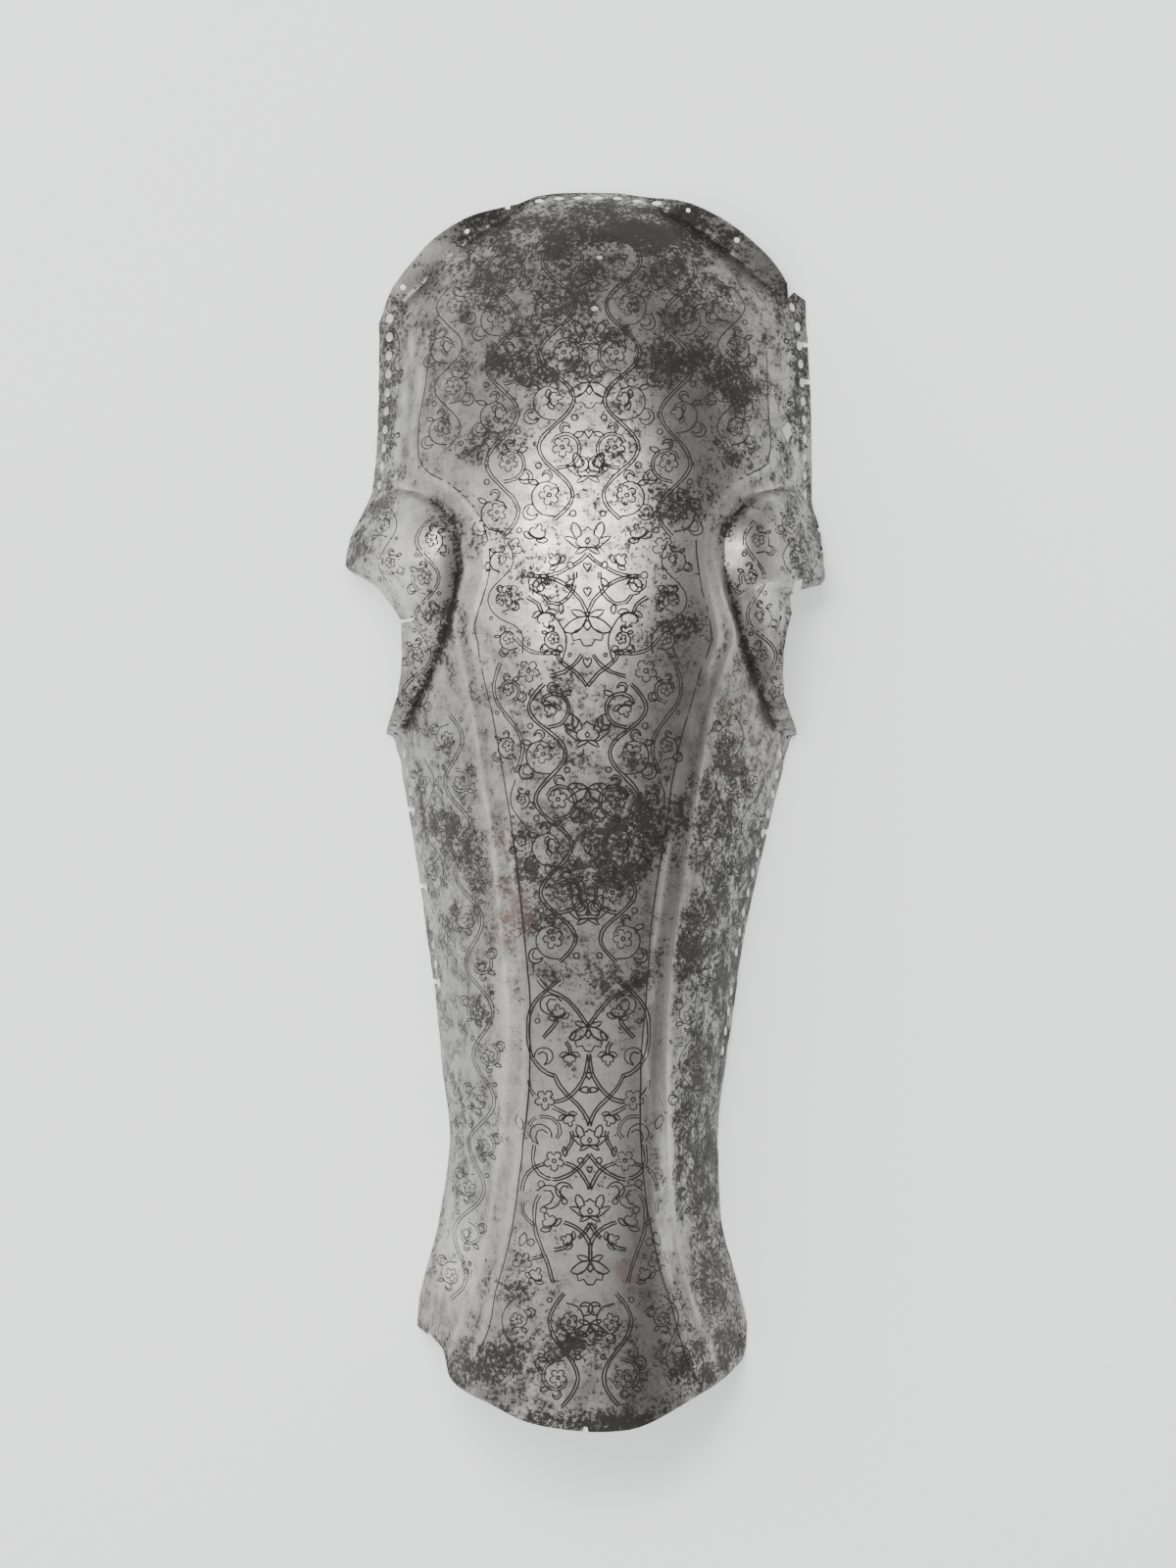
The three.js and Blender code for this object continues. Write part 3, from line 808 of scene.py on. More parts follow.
def floor_object():
    bm = bmesh.new()
    size = Matrix.Diagonal((2 * FAR * MM, 2 * FAR * MM, FAR * MM, 1))
    below = Matrix.Translation((0, 0, -FAR * MM / 2)) @ size
    bmesh.ops.create_cube(bm, size=1, matrix=below)
    return object_from("floor_cut", bm)


def settle(piece, *others):
    """Moves the finished sheet onto the middle of its CAD node, and the others with it."""
    low, high = (Vector(corner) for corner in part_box("shaffron_plate"))
    lowest, highest = (Vector(piece.bound_box[corner]) for corner in (0, 6))
    shift = (low + high) / 2 - (lowest + highest) / 2
    shift.z = low.z - lowest.z
    for moved in (piece, *others):
        moved.data.transform(Matrix.Translation(shift))
        moved.data.update()


# The engraving. Its middle line lies a little right of the plate's; places are given as
# how far out from that line and how far along, and both halves carry the same lines.
AXIS_COLUMNS = "along x"
AXIS_LINE = ((-290, 2.8), (-160, 2.2), (-80, 1.5), (90, 1.2), (290, 3.5))
axis = graph(AXIS_LINE, AXIS_COLUMNS, "along", "x")

# Space between a stem's two lines, and the lengths of the straight steps of the lines.
STEM_GAP = 1.25
STEM_STEP = 2.9
MOTIF_STEP = 1.45
BORDER_LINE_STEP = 6
BORDER_LINE_INSET = 2.4
RING_SIDES = 7

# Motifs of size 1, growing up from the origin. An axis motif gives its right half.
BUD = (
    ((0, -0.1), (-0.35, 0), (-0.62, 0.25), (-0.5, 0.6), (-0.2, 0.6), (-0.2, 0.9), (0, 1.05),
     (0.2, 0.9), (0.2, 0.6), (0.5, 0.6), (0.62, 0.25), (0.35, 0), (0, -0.1)),
    ((0, -0.1), (-0.35, -0.12), (-0.75, 0.15), (-1, 0.02), (-0.7, -0.3), (-0.35, -0.35),
     (0, -0.1)),
    ((0, -0.1), (0.35, -0.12), (0.75, 0.15), (1, 0.02), (0.7, -0.3), (0.35, -0.35),
     (0, -0.1)),
)
LEAF = (
    ((0, 0), (0.26, 0.35), (0.24, 0.7), (0, 1)),
    ((0, 0), (-0.2, 0.35), (-0.16, 0.7), (0, 1)),
)
CURL = (
    ((0, 0), (-0.12, 0.45), (0.12, 0.86), (0.55, 0.97), (0.9, 0.7), (0.95, 0.3), (0.78, 0.02)),
    ((0.06, 0.3), (0.2, 0.6), (0.48, 0.64), (0.72, 0.42), (0.78, 0.02)),
)
HEART = (((0, -0.6), (0.42, 0), (0.42, 0.36), (0.16, 0.44), (0, 0.18)),)
LOTUS = (
    ((0, 0), (0.35, 0), (0.58, 0.22), (0.5, 0.5), (0.3, 0.6), (0.32, 0.8), (0.14, 0.86), (0, 1)),
    ((0.1, 0), (0.5, -0.04), (0.82, 0.2), (1.15, 0.52), (0.78, 0.5), (0.56, 0.4)),
    ((0.3, 0.62), (0.42, 1.02), (0.72, 1.22), (0.8, 0.82), (0.62, 0.48)),
    ((0, 0), (0.34, -0.02), (0.6, -0.32), (0.28, -0.24), (0, -0.06)),
    ((0, 0.12), (0.13, 0.28), (0, 0.46)),
)
LILY = (
    ((0, 0), (0.52, -0.14), (0.95, -0.55), (0.6, -0.7), (0.25, -0.5), (0, 0)),
    ((0, 0), (0.28, 0.2), (0.64, 0.22), (0.42, -0.04), (0, 0)),
    ((0.27, -0.52), (0.64, -0.72), (0.58, -1), (0.3, -0.95), (0.16, -1.2), (0, -1.22)),
    ((0, -0.15), (0.14, -0.42), (0, -0.6)),
)
# Motifs on the middle line. Each: motif, along, size.
AXIS_PLACES = (
    (LILY, -101.9, 9.6),
    (HEART, -124.5, 3.4),
    (LOTUS, -157, 7.6),
    (HEART, -168.2, 2.6),
    (LOTUS, -190, 8.2),
    (LILY, -210.5, 9.4),
    (LOTUS, 119, 9.5),
    (HEART, 110, 4),
    (HEART, 98.6, 4),
    (LILY, 87.4, 11.5),
    (HEART, 66, 4.4),
    (LOTUS, 30, 9),
    (LILY, 8, 9.5),
    (HEART, -20, 4),
    (LOTUS, -52, 9),
    (LOTUS, 152, 9),
    (HEART, 172, 4.2),
    (LILY, 196, 10),
    (LOTUS, 214, 9),
    (LILY, 248, 9),
    (LILY, -240, 8),
)

# Double-line stems of the nose field and of the field between the eyes.
STEMS = (
    ((13, -80), (18.9, -84.9), (22.6, -88.4), (26, -93.1), (27.6, -98.4), (28, -103.7),
     (27.6, -110), (26, -116.4), (22, -121.7), (18.9, -124), (15.9, -125)),
    ((16, -124.3), (14.1, -128.6), (11.5, -132.3), (8.3, -135.5), (5.1, -138.6), (2.5, -141.8),
     (0.6, -145.5), (0, -148)),
    ((0, -101.9), (5, -94.9), (9.5, -89.7), (14.1, -86.8), (18.9, -84.9), (23, -80)),
    ((0, -114.8), (0.5, -118.5), (1.4, -122.8), (3, -127), (5.1, -130.4), (7.8, -133.3),
     (11, -135.7), (16, -137)),
    ((27.8, -127), (27, -131), (25, -134.2)),
    ((21, -107.4), (18, -104), (15.5, -101), (14.4, -98)),
    ((10.5, -109), (8.8, -111.5), (8.6, -114.5)),
    ((16.8, -139.3), (13, -141.3), (10.5, -142.6)),
    ((8.2, -150.5), (7.7, -153), (8.6, -156.3), (11.5, -160.5)),
    ((28, -148.5), (26, -145.2), (22, -143.9), (17, -144.8), (14.2, -147.8), (13.6, -151.3),
     (15.4, -154)),
    ((0, -161.5), (2, -163.9), (4.7, -167.2), (7.5, -169.4), (11.5, -171.7), (15.9, -173.1),
     (19.8, -172.5), (23.2, -170.5), (25.4, -167.5), (26.3, -164), (25.4, -157)),
    ((0, -177.5), (2, -173.1), (4.7, -169.2), (7.5, -166.9), (11.4, -165.3)),
    ((21, -165.8), (25.5, -167.5), (28.5, -170), (30.5, -174), (31.5, -179)),
    ((0, -193), (2.5, -197.5), (5.3, -200.4)),
    ((12, -192.9), (7, -194.9), (2.5, -198.8), (0, -203.8), (0, -210)),
    ((23.2, -180.3), (25.2, -184.3), (25.7, -189.8), (25.4, -195), (24.6, -199.3), (22, -206),
     (19.3, -213.3), (17.3, -221)),
    ((31, -184.2), (31, -188.7), (29, -192), (25.4, -194.6)),
    ((16.8, -205.7), (12, -204.8), (9.5, -202.6)),
    ((29, -210.5), (25, -209.5), (21.5, -208.3)),
    ((0, 116), (3, 113), (6.8, 110.4)),
    ((8.8, 109.6), (13.5, 107), (20, 105.6), (24.4, 105.8)),
    ((20, 105.5), (14, 103.8), (9.5, 101.2), (6.8, 98.6), (3, 94.5), (0, 88)),
    ((5.8, 107.5), (5.6, 104.5)),
    ((5.8, 101.6), (7, 98.2), (9.5, 95.2), (13.8, 92.8), (18, 93.6), (20.6, 97)),
    ((27.6, 96), (22.5, 92.5), (20.8, 88.5)),
    ((13.8, 71.6), (13.4, 68), (10, 64.5), (5, 61), (0, 55)),
    ((33, 77.3), (28.5, 72.5), (22.5, 70.2), (14.5, 70.4)),
    ((2.5, 69.5), (6, 65), (11, 61.5), (17.5, 59.5)),
)
# Round flowers. Each: out, along, size.
BLOOMS = (
    (20.5, -136, 4.6),
    (16.5, -164.4, 4.6),
    (31.5, -211.6, 4.6),
    (35, 119, 5),
    (36, 97, 5),
    (27, 62, 5),
)
# Leaves and buds. Each: motif, out, along, size, turn, flip.
SPRIGS = (
    (BUD, 13.6, -97, 5.2, 10, 1),
    (BUD, 8.8, -115.5, 4.8, 180, 1),
    (BUD, 10, -143.8, 4.6, 200, 1),
    (BUD, 18, -194, 5.6, 30, 1),
    (BUD, 9, -201.5, 4.6, 70, 1),
    (BUD, 26, -219, 5, -30, 1),
    (CURL, 12.4, -90.5, 8.5, 60, 1),
    (CURL, 25.2, -116.2, 7.5, -40, -1),
    (CURL, 17.5, -153.5, 9, 30, 1),
    (CURL, 24.5, -178.6, 10, -70, -1),
    (CURL, 8, -177.5, 7, 50, 1),
    (LEAF, 1, -131.6, 5.4, -90, 1),
    (LEAF, 6, -104, 5, 150, 1),
    (LEAF, 12, -157.5, 5, 190, 1),
    (LEAF, 31, -150, 7, 20, 1),
    (LEAF, 30, -198, 7, 160, 1),
    (BUD, 19.6, 88, 6, 190, 1),
    (BUD, 14, 112, 5, 45, 1),
    (LEAF, 6, 104.5, 5.5, 130, 1),
    (LEAF, 12.4, 93, 5, 185, 1),
    (CURL, 20.4, 96.8, 7, 60, -1),
    (CURL, 27, 104, 7, 200, 1),
    (LEAF, 12, 71, 5, 100, 1),
    (BUD, 24, 124, 6, -20, 1),
)
# Each: out, along, radius.
RINGS = (
    (23.6, -99.5, 1.2),
    (4.3, -164.2, 1.4),
    (22.6, -175.2, 1.7),
    (21.4, -187.3, 1.6),
    (11.7, -183.2, 1.4),
    (27.4, -202.6, 1.8),
    (7.8, 110.7, 1.5),
    (26, 106.2, 1.6),
    (12.6, 72, 1.6),
)

# Scrolls that fill the rest. Each: path, length of a wave, reach, gap of the stem. Those of
# the field are mirrored in the middle line.
FIELD_SCROLLS = (
    (((13, -72), (15, -20), (20, 56)), 22, 12.5, STEM_GAP),
    (((33, 15), (40, 66)), 22, 8, STEM_GAP),
    (((15, 132), (15, 266)), 23, 13, STEM_GAP),
    (((39, 124), (42, 262)), 23, 12, STEM_GAP),
    (((66, 166), (66, 244)), 22, 10.5, 0),
    (((12, -226), (13, -278)), 21, 11, STEM_GAP),
    (((34, -228), (42, -268)), 20, 8, 0),
    (((28, -26), (33, 12)), 19, 6, 0),
    (((30, 70), (41, 92), (37, 122)), 19, 7.5, 0),
    (((12, 66), (16, 88)), 19, 7, 0),
)
SIDE_SCROLLS = (
    (((-90, 225), (-93, 165)), 17, 4.5, 0),
    (((99, 225), (102, 165)), 17, 4.5, 0),
    (((-82, 44), (-76, 72), (-73, 98), (-73, 132)), 19, 8.5, STEM_GAP),
    (((-92, 104), (-92, 140)), 18, 7, 0),
    (((89, 44), (84, 72), (79, 98), (79, 132)), 19, 8, STEM_GAP),
    (((96, 108), (98, 140)), 18, 7, 0),
    (((-63, 42), (-60, 10), (-53, -50), (-47, -110), (-50, -165), (-63, -232)), 21, 8.5,
     STEM_GAP),
    (((-76, 22), (-69, -40)), 20, 6.5, 0),
    (((70, 42), (65, 0), (56, -60), (49, -120), (52, -172), (64, -238)), 21, 8.5, 0),
    (((82, 22), (73, -40)), 20, 6.5, 0),
)

# A scroll's parts, as shares of its reach: how far the stem sways and a branch's middle
# lies off, a branch's radius where it leaves and how much it loses, its flower, its bud and
# the ring at the stem's bend.
SWAY = 0.62
CENTRE_OFF = 0.22
SPIRAL_START = 0.78
SPIRAL_CLOSE = 0.4
FLOWER = 0.36
BUD_SIZE = 0.4
BEND_RING = 0.11
BEND_AT = 0.12
WAVE_STEPS = 8
SPIRAL_LAST = 7
SPIRAL_TURN = 4.6

# Leaves on a branch. Each: which of its points it grows from, motif, size, lean.
BRANCH_LEAVES = ((2, CURL, 0.5, 0), (4, LEAF, 0.42, -80 / 3), (5, CURL, 0.36, 130 / 3))

# One petal of a flower, as shares of its turn and of the flower's size.
PETALS = 5
PETAL = ((0, 0.55), (0.2, 0.9), (0.5, 1.04), (0.8, 0.9))
PETAL_STEP = 0.5
EYE = 0.2
BLOOM_TURN = 18

# How far the lines wander, over what length, and how little the sheet may face upwards.
TINY_WANDER = 0.35
WANDER_LENGTH = 6
WANDER_SLICES = 5
WANDER_SEED = 11
STEEPEST = 0.15
PROUD = 0.06


def turned(points, degrees, flip):
    points = np.array(points, dtype=float) * (flip, 1)
    angle = math.radians(degrees)
    turn = np.array(((math.cos(angle), -math.sin(angle)), (math.sin(angle), math.cos(angle))))
    return points @ turn.T


def heading(line):
    """The way that a line runs at each of its points."""
    ahead = np.gradient(line, axis=0)
    return ahead / np.linalg.norm(ahead, axis=1)[:, None]


def curled(centre, start, side, reach):
    """Points of a branch that leaves a stem and curls in round a centre."""
    cx, cy = centre
    first = math.atan2(start[1] - cy, start[0] - cx)
    places = []
    for i in range(SPIRAL_LAST + 1):
        angle = first + side * SPIRAL_TURN * i / SPIRAL_LAST
        radius = reach * (SPIRAL_START - SPIRAL_CLOSE * i / SPIRAL_LAST)
        places.append((cx + radius * math.cos(angle), cy + radius * math.sin(angle)))
    return places


class Engraving:
    """Collects the engraved lines, as points from above."""

    def __init__(self):
        self.lines = []

    def line(self, knots, step, closed=False):
        self.lines.append(smooth_line(knots, step, closed))

    def stem(self, knots, gap=STEM_GAP):
        """Two lines a gap apart, or one where there is no gap."""
        middle = smooth_line(knots, STEM_STEP)
        ahead = heading(middle)
        across = np.column_stack((-ahead[:, 1], ahead[:, 0])) * gap / 2
        for side in (1, -1) if gap else (1,):
            self.lines.append(middle + side * across)

    def ring(self, x, y, radius):
        angles = np.linspace(0, 2 * math.pi, RING_SIDES + 1)
        circle = np.column_stack((x + radius * np.cos(angles), y + radius * np.sin(angles)))
        self.lines.append(circle)

    def bloom(self, x, y, size, turn):
        """A round flower of petals about a small eye."""
        knots = []
        for petal in range(PETALS):
            for share, reach in PETAL:
                angle = math.radians(turn) + 2 * math.pi * (petal + share) / PETALS
                across, along = size * reach * math.cos(angle), size * reach * math.sin(angle)
                knots.append((x + across, y + along))
        self.line(knots, size * PETAL_STEP, closed=True)
        self.ring(x, y, size * EYE)

    def sprig(self, motif, x, y, size, turn, flip=1):
        for knots in motif:
            self.line(turned(knots, turn, flip) * size + (x, y), max(MOTIF_STEP, size * 0.24))

    def mirrored(self, out, along, sign):
        return float(axis(along)) + sign * out, along

    def scroll(self, path, pitch, reach, gap, mirror):
        """A waving stem, with a branch curled round a flower in every wave."""
        middle = smooth_line(path, 1)
        ahead = heading(middle)
        steps = np.linalg.norm(np.diff(middle, axis=0), axis=1)
        run = np.concatenate(((0,), np.cumsum(steps)))
        waves = max(1, round(run[-1] / pitch))

        def at(share, off):
            where = share * run[-1]
            x, y, ax, ay = (np.interp(where, run, values) for values in (*middle.T, *ahead.T))
            return x - ay * off, y + ax * off

        def swing(i):
            sway = reach * SWAY * math.sin(math.pi * i / WAVE_STEPS)
            return at(i / (WAVE_STEPS * waves), sway)

        def put(place, sign):
            return self.mirrored(*place, sign) if mirror else place

        for sign in (1, -1) if mirror else (1,):
            self.stem([put(swing(i), sign) for i in range(0, WAVE_STEPS * waves + 1, 2)], gap)
            for wave in range(waves):
                side = -1 if wave % 2 else 1
                centre = at((wave + 0.5) / waves, -side * reach * CENTRE_OFF)
                spiral = curled(centre, swing(WAVE_STEPS * wave), side, reach)
                self.stem([put(place, sign) for place in spiral], gap if wave % 2 else 0)
                if wave % 3 < 2:
                    self.bloom(*put(centre, sign), reach * FLOWER, 20 * wave)
                else:
                    self.sprig(BUD, *put(centre, sign), reach * BUD_SIZE, 40 * wave * sign)
                for point, motif, size, lean in BRANCH_LEAVES:
                    x, y = spiral[point]
                    out = math.degrees(math.atan2(y - centre[1], x - centre[0])) - 90
                    turn = sign * out + side * sign * lean
                    self.sprig(motif, *put((x, y), sign), reach * size, turn, side * sign)
                bend = at((wave + BEND_AT) / waves, side * reach * SWAY)
                self.ring(*put(bend, sign), reach * BEND_RING)

    def lay(self):
        for motif, along, size in AXIS_PLACES:
            for knots in motif:
                for sign in (1, -1):
                    half = [self.mirrored(x, along + y, sign) for x, y in np.array(knots) * size]
                    self.line(half, max(MOTIF_STEP, size * 0.2))
        for sign in (1, -1):
            for knots in STEMS:
                self.stem([self.mirrored(out, along, sign) for out, along in knots])
            for out, along, size in BLOOMS:
                self.bloom(*self.mirrored(out, along, sign), size, BLOOM_TURN)
            for motif, out, along, size, turn, flip in SPRIGS:
                place = self.mirrored(out, along, sign)
                self.sprig(motif, *place, size, -turn * sign, flip * sign)
            for out, along, radius in RINGS:
                self.ring(*self.mirrored(out, along, sign), radius)
        for scrolls, mirror in ((FIELD_SCROLLS, True), (SIDE_SCROLLS, False)):
            for scroll in scrolls:
                self.scroll(*scroll, mirror)
        for name, inset in (("left_inner", 1), ("right_inner", -1)):
            knots = [(x + inset * BORDER_LINE_INSET, y) for x, y in BORDERS[name]]
            self.line(knots, BORDER_LINE_STEP)
        return self.lines


def line_curve(lines, surface, width):
    """A square wire along every line, lying in the plate's outer face."""
    noise.seed_set(WANDER_SEED)
    curve = bpy.data.curves.new("engraved_lines", "CURVE")
    curve.dimensions = "3D"
    curve.bevel_depth = width / 2
    curve.bevel_resolution = 0
    curve.use_fill_caps = True
    curve.resolution_u = 1
    for index, line in enumerate(lines):
        places = []
        for x, y in line:
            drift = Vector((x / WANDER_LENGTH, y / WANDER_LENGTH, index % WANDER_SLICES))
            wander = noise.noise_vector(drift) * TINY_WANDER
            hit, normal = surface.at(x + wander.x, y + wander.y)
            if hit is None or normal.z < STEEPEST:
                break
            places.append(hit)
        if len(places) < 2:
            continue
        spline = curve.splines.new("POLY")
        spline.points.add(len(places) - 1)
        for point, place in zip(spline.points, places):
            point.co = (*place, 1)
    return curve


def pressed_in(curve, surface, depth):
    """The wires as one mesh, pressed into the steel until their tops are almost flush."""
    holder = new_object("wires", curve)
    depsgraph = bpy.context.evaluated_depsgraph_get()
    mesh = bpy.data.meshes.new_from_object(holder.evaluated_get(depsgraph))
    bpy.data.objects.remove(holder)
    bpy.data.curves.remove(curve)
    bm = bmesh.new()
    bm.from_mesh(mesh)
    bpy.data.meshes.remove(mesh)
    bmesh.ops.remove_doubles(bm, verts=bm.verts, dist=1e-6)
    bmesh.ops.recalc_face_normals(bm, faces=bm.faces)
    for vert in bm.verts:
        nearest, normal, _, _ = surface.tree.find_nearest(vert.co)
        off = (vert.co - nearest).dot(normal) + PROUD / 2 * MM
        vert.co = nearest + normal * min(max(off, -depth), PROUD * MM)
    return object_from("engraved_lines", bm)


def store(mesh, name, values):
    attribute = mesh.attributes.new(name, "FLOAT", "POINT")
    attribute.data.foreach_set("value", np.ascontiguousarray(values, dtype=np.float32))


WORN_RIDGE_WIDTH = 1.3
# How wide the painted shade along the hood creases spreads.
CREASE_SHADE_WIDTH = 2.6


def mark_wear_and_painted_light(piece):
    """Writes into the mesh where the steel is dark with patina and painted shade, where a
    highlight is painted, where it is rusty, where it is ridged, and the painted shade along the
    hood creases.
    """
    mesh = piece.data
    places = np.empty(3 * len(mesh.vertices), dtype=np.float32)
    mesh.vertices.foreach_get("co", places)
    x, y, _ = places.reshape(-1, 3).T.astype(float) / MM
    past, here = past_crease(x, y)
    # Patina, with painted shade on the rim at the poll and down the right cheek.
    store(mesh, "patina_and_shade", blotches(PATINA_AND_SHADE, x, y))
    # A painted highlight where the lights reflect.
    store(mesh, "painted_highlight", blotches(PAINTED_HIGHLIGHTS, x, y))
    store(mesh, "rust", blotches(RUST, x, y))
    store(mesh, "ridge", ridge_share(x, y, WORN_RIDGE_WIDTH))
    # Painted shade along the hood creases.
    store(mesh, "crease_shade", here * np.exp(-((past / CREASE_SHADE_WIDTH) ** 2)))


class Finish:
    """Lays out the shader nodes of one material."""

    def __init__(self, name):
        self.material = bpy.data.materials.new(name)
        self.material.use_nodes = True
        self.tree = self.material.node_tree
        self.shader = self.tree.nodes["Principled BSDF"]
        self.place = self.node("ShaderNodeTexCoord").outputs["Object"]

    def node(self, kind, **settings):
        made = self.tree.nodes.new(kind)
        for name, value in settings.items():
            setattr(made, name, value)
        return made

    def feed(self, socket, value):
        if isinstance(value, bpy.types.NodeSocket):
            self.tree.links.new(value, socket)
        else:
            socket.default_value = value

    def set(self, name, value):
        """Feeds one of the shader's own sockets."""
        self.feed(self.shader.inputs[name], value)

    def noise(self, scale, detail=4, roughness=0.6, stretch=(1, 1, 1), shift=(0, 0, 0)):
        mapping = self.node("ShaderNodeMapping")
        self.feed(mapping.inputs["Vector"], self.place)
        mapping.inputs["Scale"].default_value = stretch
        mapping.inputs["Location"].default_value = shift
        made = self.node("ShaderNodeTexNoise")
        self.feed(made.inputs["Vector"], mapping.outputs["Vector"])
        made.inputs["Scale"].default_value = scale
        made.inputs["Detail"].default_value = detail
        made.inputs["Roughness"].default_value = roughness
        return made.outputs["Fac"]

    def attribute(self, name):
        return self.node("ShaderNodeAttribute", attribute_name=name).outputs["Fac"]

    def math(self, operation, a, b):
        made = self.node("ShaderNodeMath", operation=operation)
        self.feed(made.inputs[0], a)
        self.feed(made.inputs[1], b)
        return made.outputs[0]

    def weighted(self, a, share_of_a, b, share_of_b):
        """A share of one value and a share of another, together."""
        first, second = self.math("MULTIPLY", a, share_of_a), self.math("MULTIPLY", b, share_of_b)
        return self.math("ADD", first, second)

    def step(self, value, low, high, start=0.0, end=1.0):
        """Turns a value smoothly from start to end as it goes from low to high."""
        made = self.node("ShaderNodeMapRange", interpolation_type="SMOOTHSTEP")
        for name, item in zip(
            ("Value", "From Min", "From Max", "To Min", "To Max"),
            (value, low, high, start, end),
        ):
            self.feed(made.inputs[name], item)
        return made.outputs["Result"]

    def mix(self, factor, a, b):
        made = self.node("ShaderNodeMix", data_type="RGBA")
        for name, item in (("Factor_Float", factor), ("A_Color", a), ("B_Color", b)):
            socket = next(s for s in made.inputs if s.identifier == name)
            self.feed(socket, item)
        return next(s for s in made.outputs if s.identifier == "Result_Color")

    def bump(self, height_value, distance, strength, below=None):
        made = self.node("ShaderNodeBump")
        self.feed(made.inputs["Height"], height_value)
        made.inputs["Distance"].default_value = distance
        made.inputs["Strength"].default_value = strength
        if below is not None:
            self.feed(made.inputs["Normal"], below)
        return made.outputs["Normal"]


def colour(values):
    return (*values, 1.0)


# How strongly each mark thickens or clears the patina flecks, which also paint shade, and where
# among the flecks it starts.
PATINA_AND_SHADE_COVERS = 0.9
CREASE_SHADE_COVERS = 0.8
RIDGE_CLEARS = 0.35
HIGHLIGHT_CLEARS = 0.3
FLECK_START = 0.59
FLECK_REACH = 0.2
FLECK_BLUR = 0.055


def steel_finish(steel):
    """Worn steel with painted highlights, under a speckled skin of dark patina whose flecks also
    paint the shade.
    """
    look = Finish("worn_steel")
    clouds = look.noise(32, detail=6, roughness=0.65)
    patches = look.noise(95, detail=8, roughness=0.72, shift=(0.7, 0.2, 0.4))
    specks = look.noise(520, detail=5, roughness=0.7, shift=(0.1, 0.9, 0.3))
    dust = look.noise(1500, detail=3, roughness=0.6, shift=(0.5, 0.4, 0.8))
    scratches = look.noise(260, detail=3, roughness=0.6, stretch=(4, 0.22, 1))
    marks = ("patina_and_shade", "painted_highlight", "ridge", "rust", "crease_shade")
    patina_and_shade, painted_highlight, ridge, rust, crease_shade = (look.attribute(name) for name in marks)

    # The patina flecks thicken with the patina and its painted shade, and with the painted shade
    # along the creases; the painted highlight and the rubbed ridges clear them.
    cover = look.math("MULTIPLY", patina_and_shade, PATINA_AND_SHADE_COVERS)
    for part in (
        look.step(clouds, 0.34, 0.66, -0.2, 0.3),
        look.step(patches, 0.36, 0.64, -0.22, 0.3),
    ):
        cover = look.math("ADD", cover, part)
    for operation, mark, weight in (
        ("SUBTRACT", painted_highlight, HIGHLIGHT_CLEARS),
        ("SUBTRACT", ridge, RIDGE_CLEARS),
        ("ADD", crease_shade, CREASE_SHADE_COVERS),
    ):
        cover = look.math(operation, cover, look.math("MULTIPLY", mark, weight))
    threshold = look.math("SUBTRACT", FLECK_START, look.math("MULTIPLY", cover, FLECK_REACH))
    low = look.math("SUBTRACT", threshold, FLECK_BLUR)
    high = look.math("ADD", threshold, FLECK_BLUR)
    fleck = look.weighted(specks, 0.7, dust, 0.3)
    dark = look.step(fleck, low, high)

    grey = look.mix(look.step(patches, 0.35, 0.68), colour(steel.clean), colour(steel.dull))
    # Painted highlight: the bare steel turns bright where a highlight is painted, and a little on
    # the rubbed ridges.
    highlight_and_rub = look.weighted(painted_highlight, 0.75, ridge, 0.25)
    highlight_and_rub = look.math("MULTIPLY", highlight_and_rub, look.step(specks, 0.3, 0.6, 0.6, 1.0))
    bare = look.mix(highlight_and_rub, grey, colour(steel.bright))
    bare = look.mix(look.step(scratches, 0.55, 0.75, 0.0, 0.25), bare, colour(steel.dull))
    # The flecks' colour, which also paints the shade.
    stain = look.mix(look.step(clouds, 0.35, 0.7), colour(steel.patina_and_shade), colour(steel.brown))
    skin = look.mix(dark, bare, stain)
    redness = look.math("MULTIPLY", rust, look.step(patches, 0.36, 0.6, 0.15, 0.8))
    look.set("Base Color", look.mix(redness, skin, colour(steel.rust)))
    look.set("Metallic", look.step(dark, 0, 1, 0.92, 0.35))
    look.set("Specular IOR Level", 0.3)
    rough = look.step(dark, 0, 1, 0.38, 0.6)
    look.set("Roughness", look.math("ADD", rough, look.step(patches, 0.3, 0.7, -0.05, 0.1)))

    dents = look.noise(55, detail=2, roughness=0.5, shift=(0.3, 0.3, 0.1))
    pits = look.math("SUBTRACT", specks, look.math("MULTIPLY", dark, 0.5))
    normal = look.bump(dents, 0.0012, 0.25)
    normal = look.bump(pits, 0.0003, 0.35, normal)
    normal = look.bump(dust, 0.0001, 0.3, normal)
    look.set("Normal", look.bump(scratches, 0.0001, 0.25, normal))
    return look.material


def groove_finish(steel):
    """The dark of the engraved lines."""
    look = Finish("engraved_lines")
    grains = look.noise(900, detail=3)
    base = look.mix(look.step(grains, 0.35, 0.65), colour(steel.groove), colour(steel.patina_and_shade))
    look.set("Base Color", base)
    look.set("Metallic", 0.3)
    look.set("Roughness", 0.7)
    look.set("Normal", look.bump(grains, 0.0001, 0.4))
    return look.material


GRAIN_GREY = (0.7, 0.7, 0.7)


def floor_finish(studio):
    """Pale paper that gives out a little light of its own."""
    look = Finish("studio_paper")
    grain = look.step(look.noise(900, detail=2), 0.3, 0.7, 0.0, 0.05)
    look.set("Base Color", look.mix(grain, colour(studio.paper), colour(GRAIN_GREY)))
    look.set("Roughness", 0.9)
    look.set("Emission Color", colour(studio.paper))
    look.set("Emission Strength", studio.glow)
    return look.material


def length(name, description, default):
    return FloatProperty(name=name, description=description, default=default, unit="LENGTH")


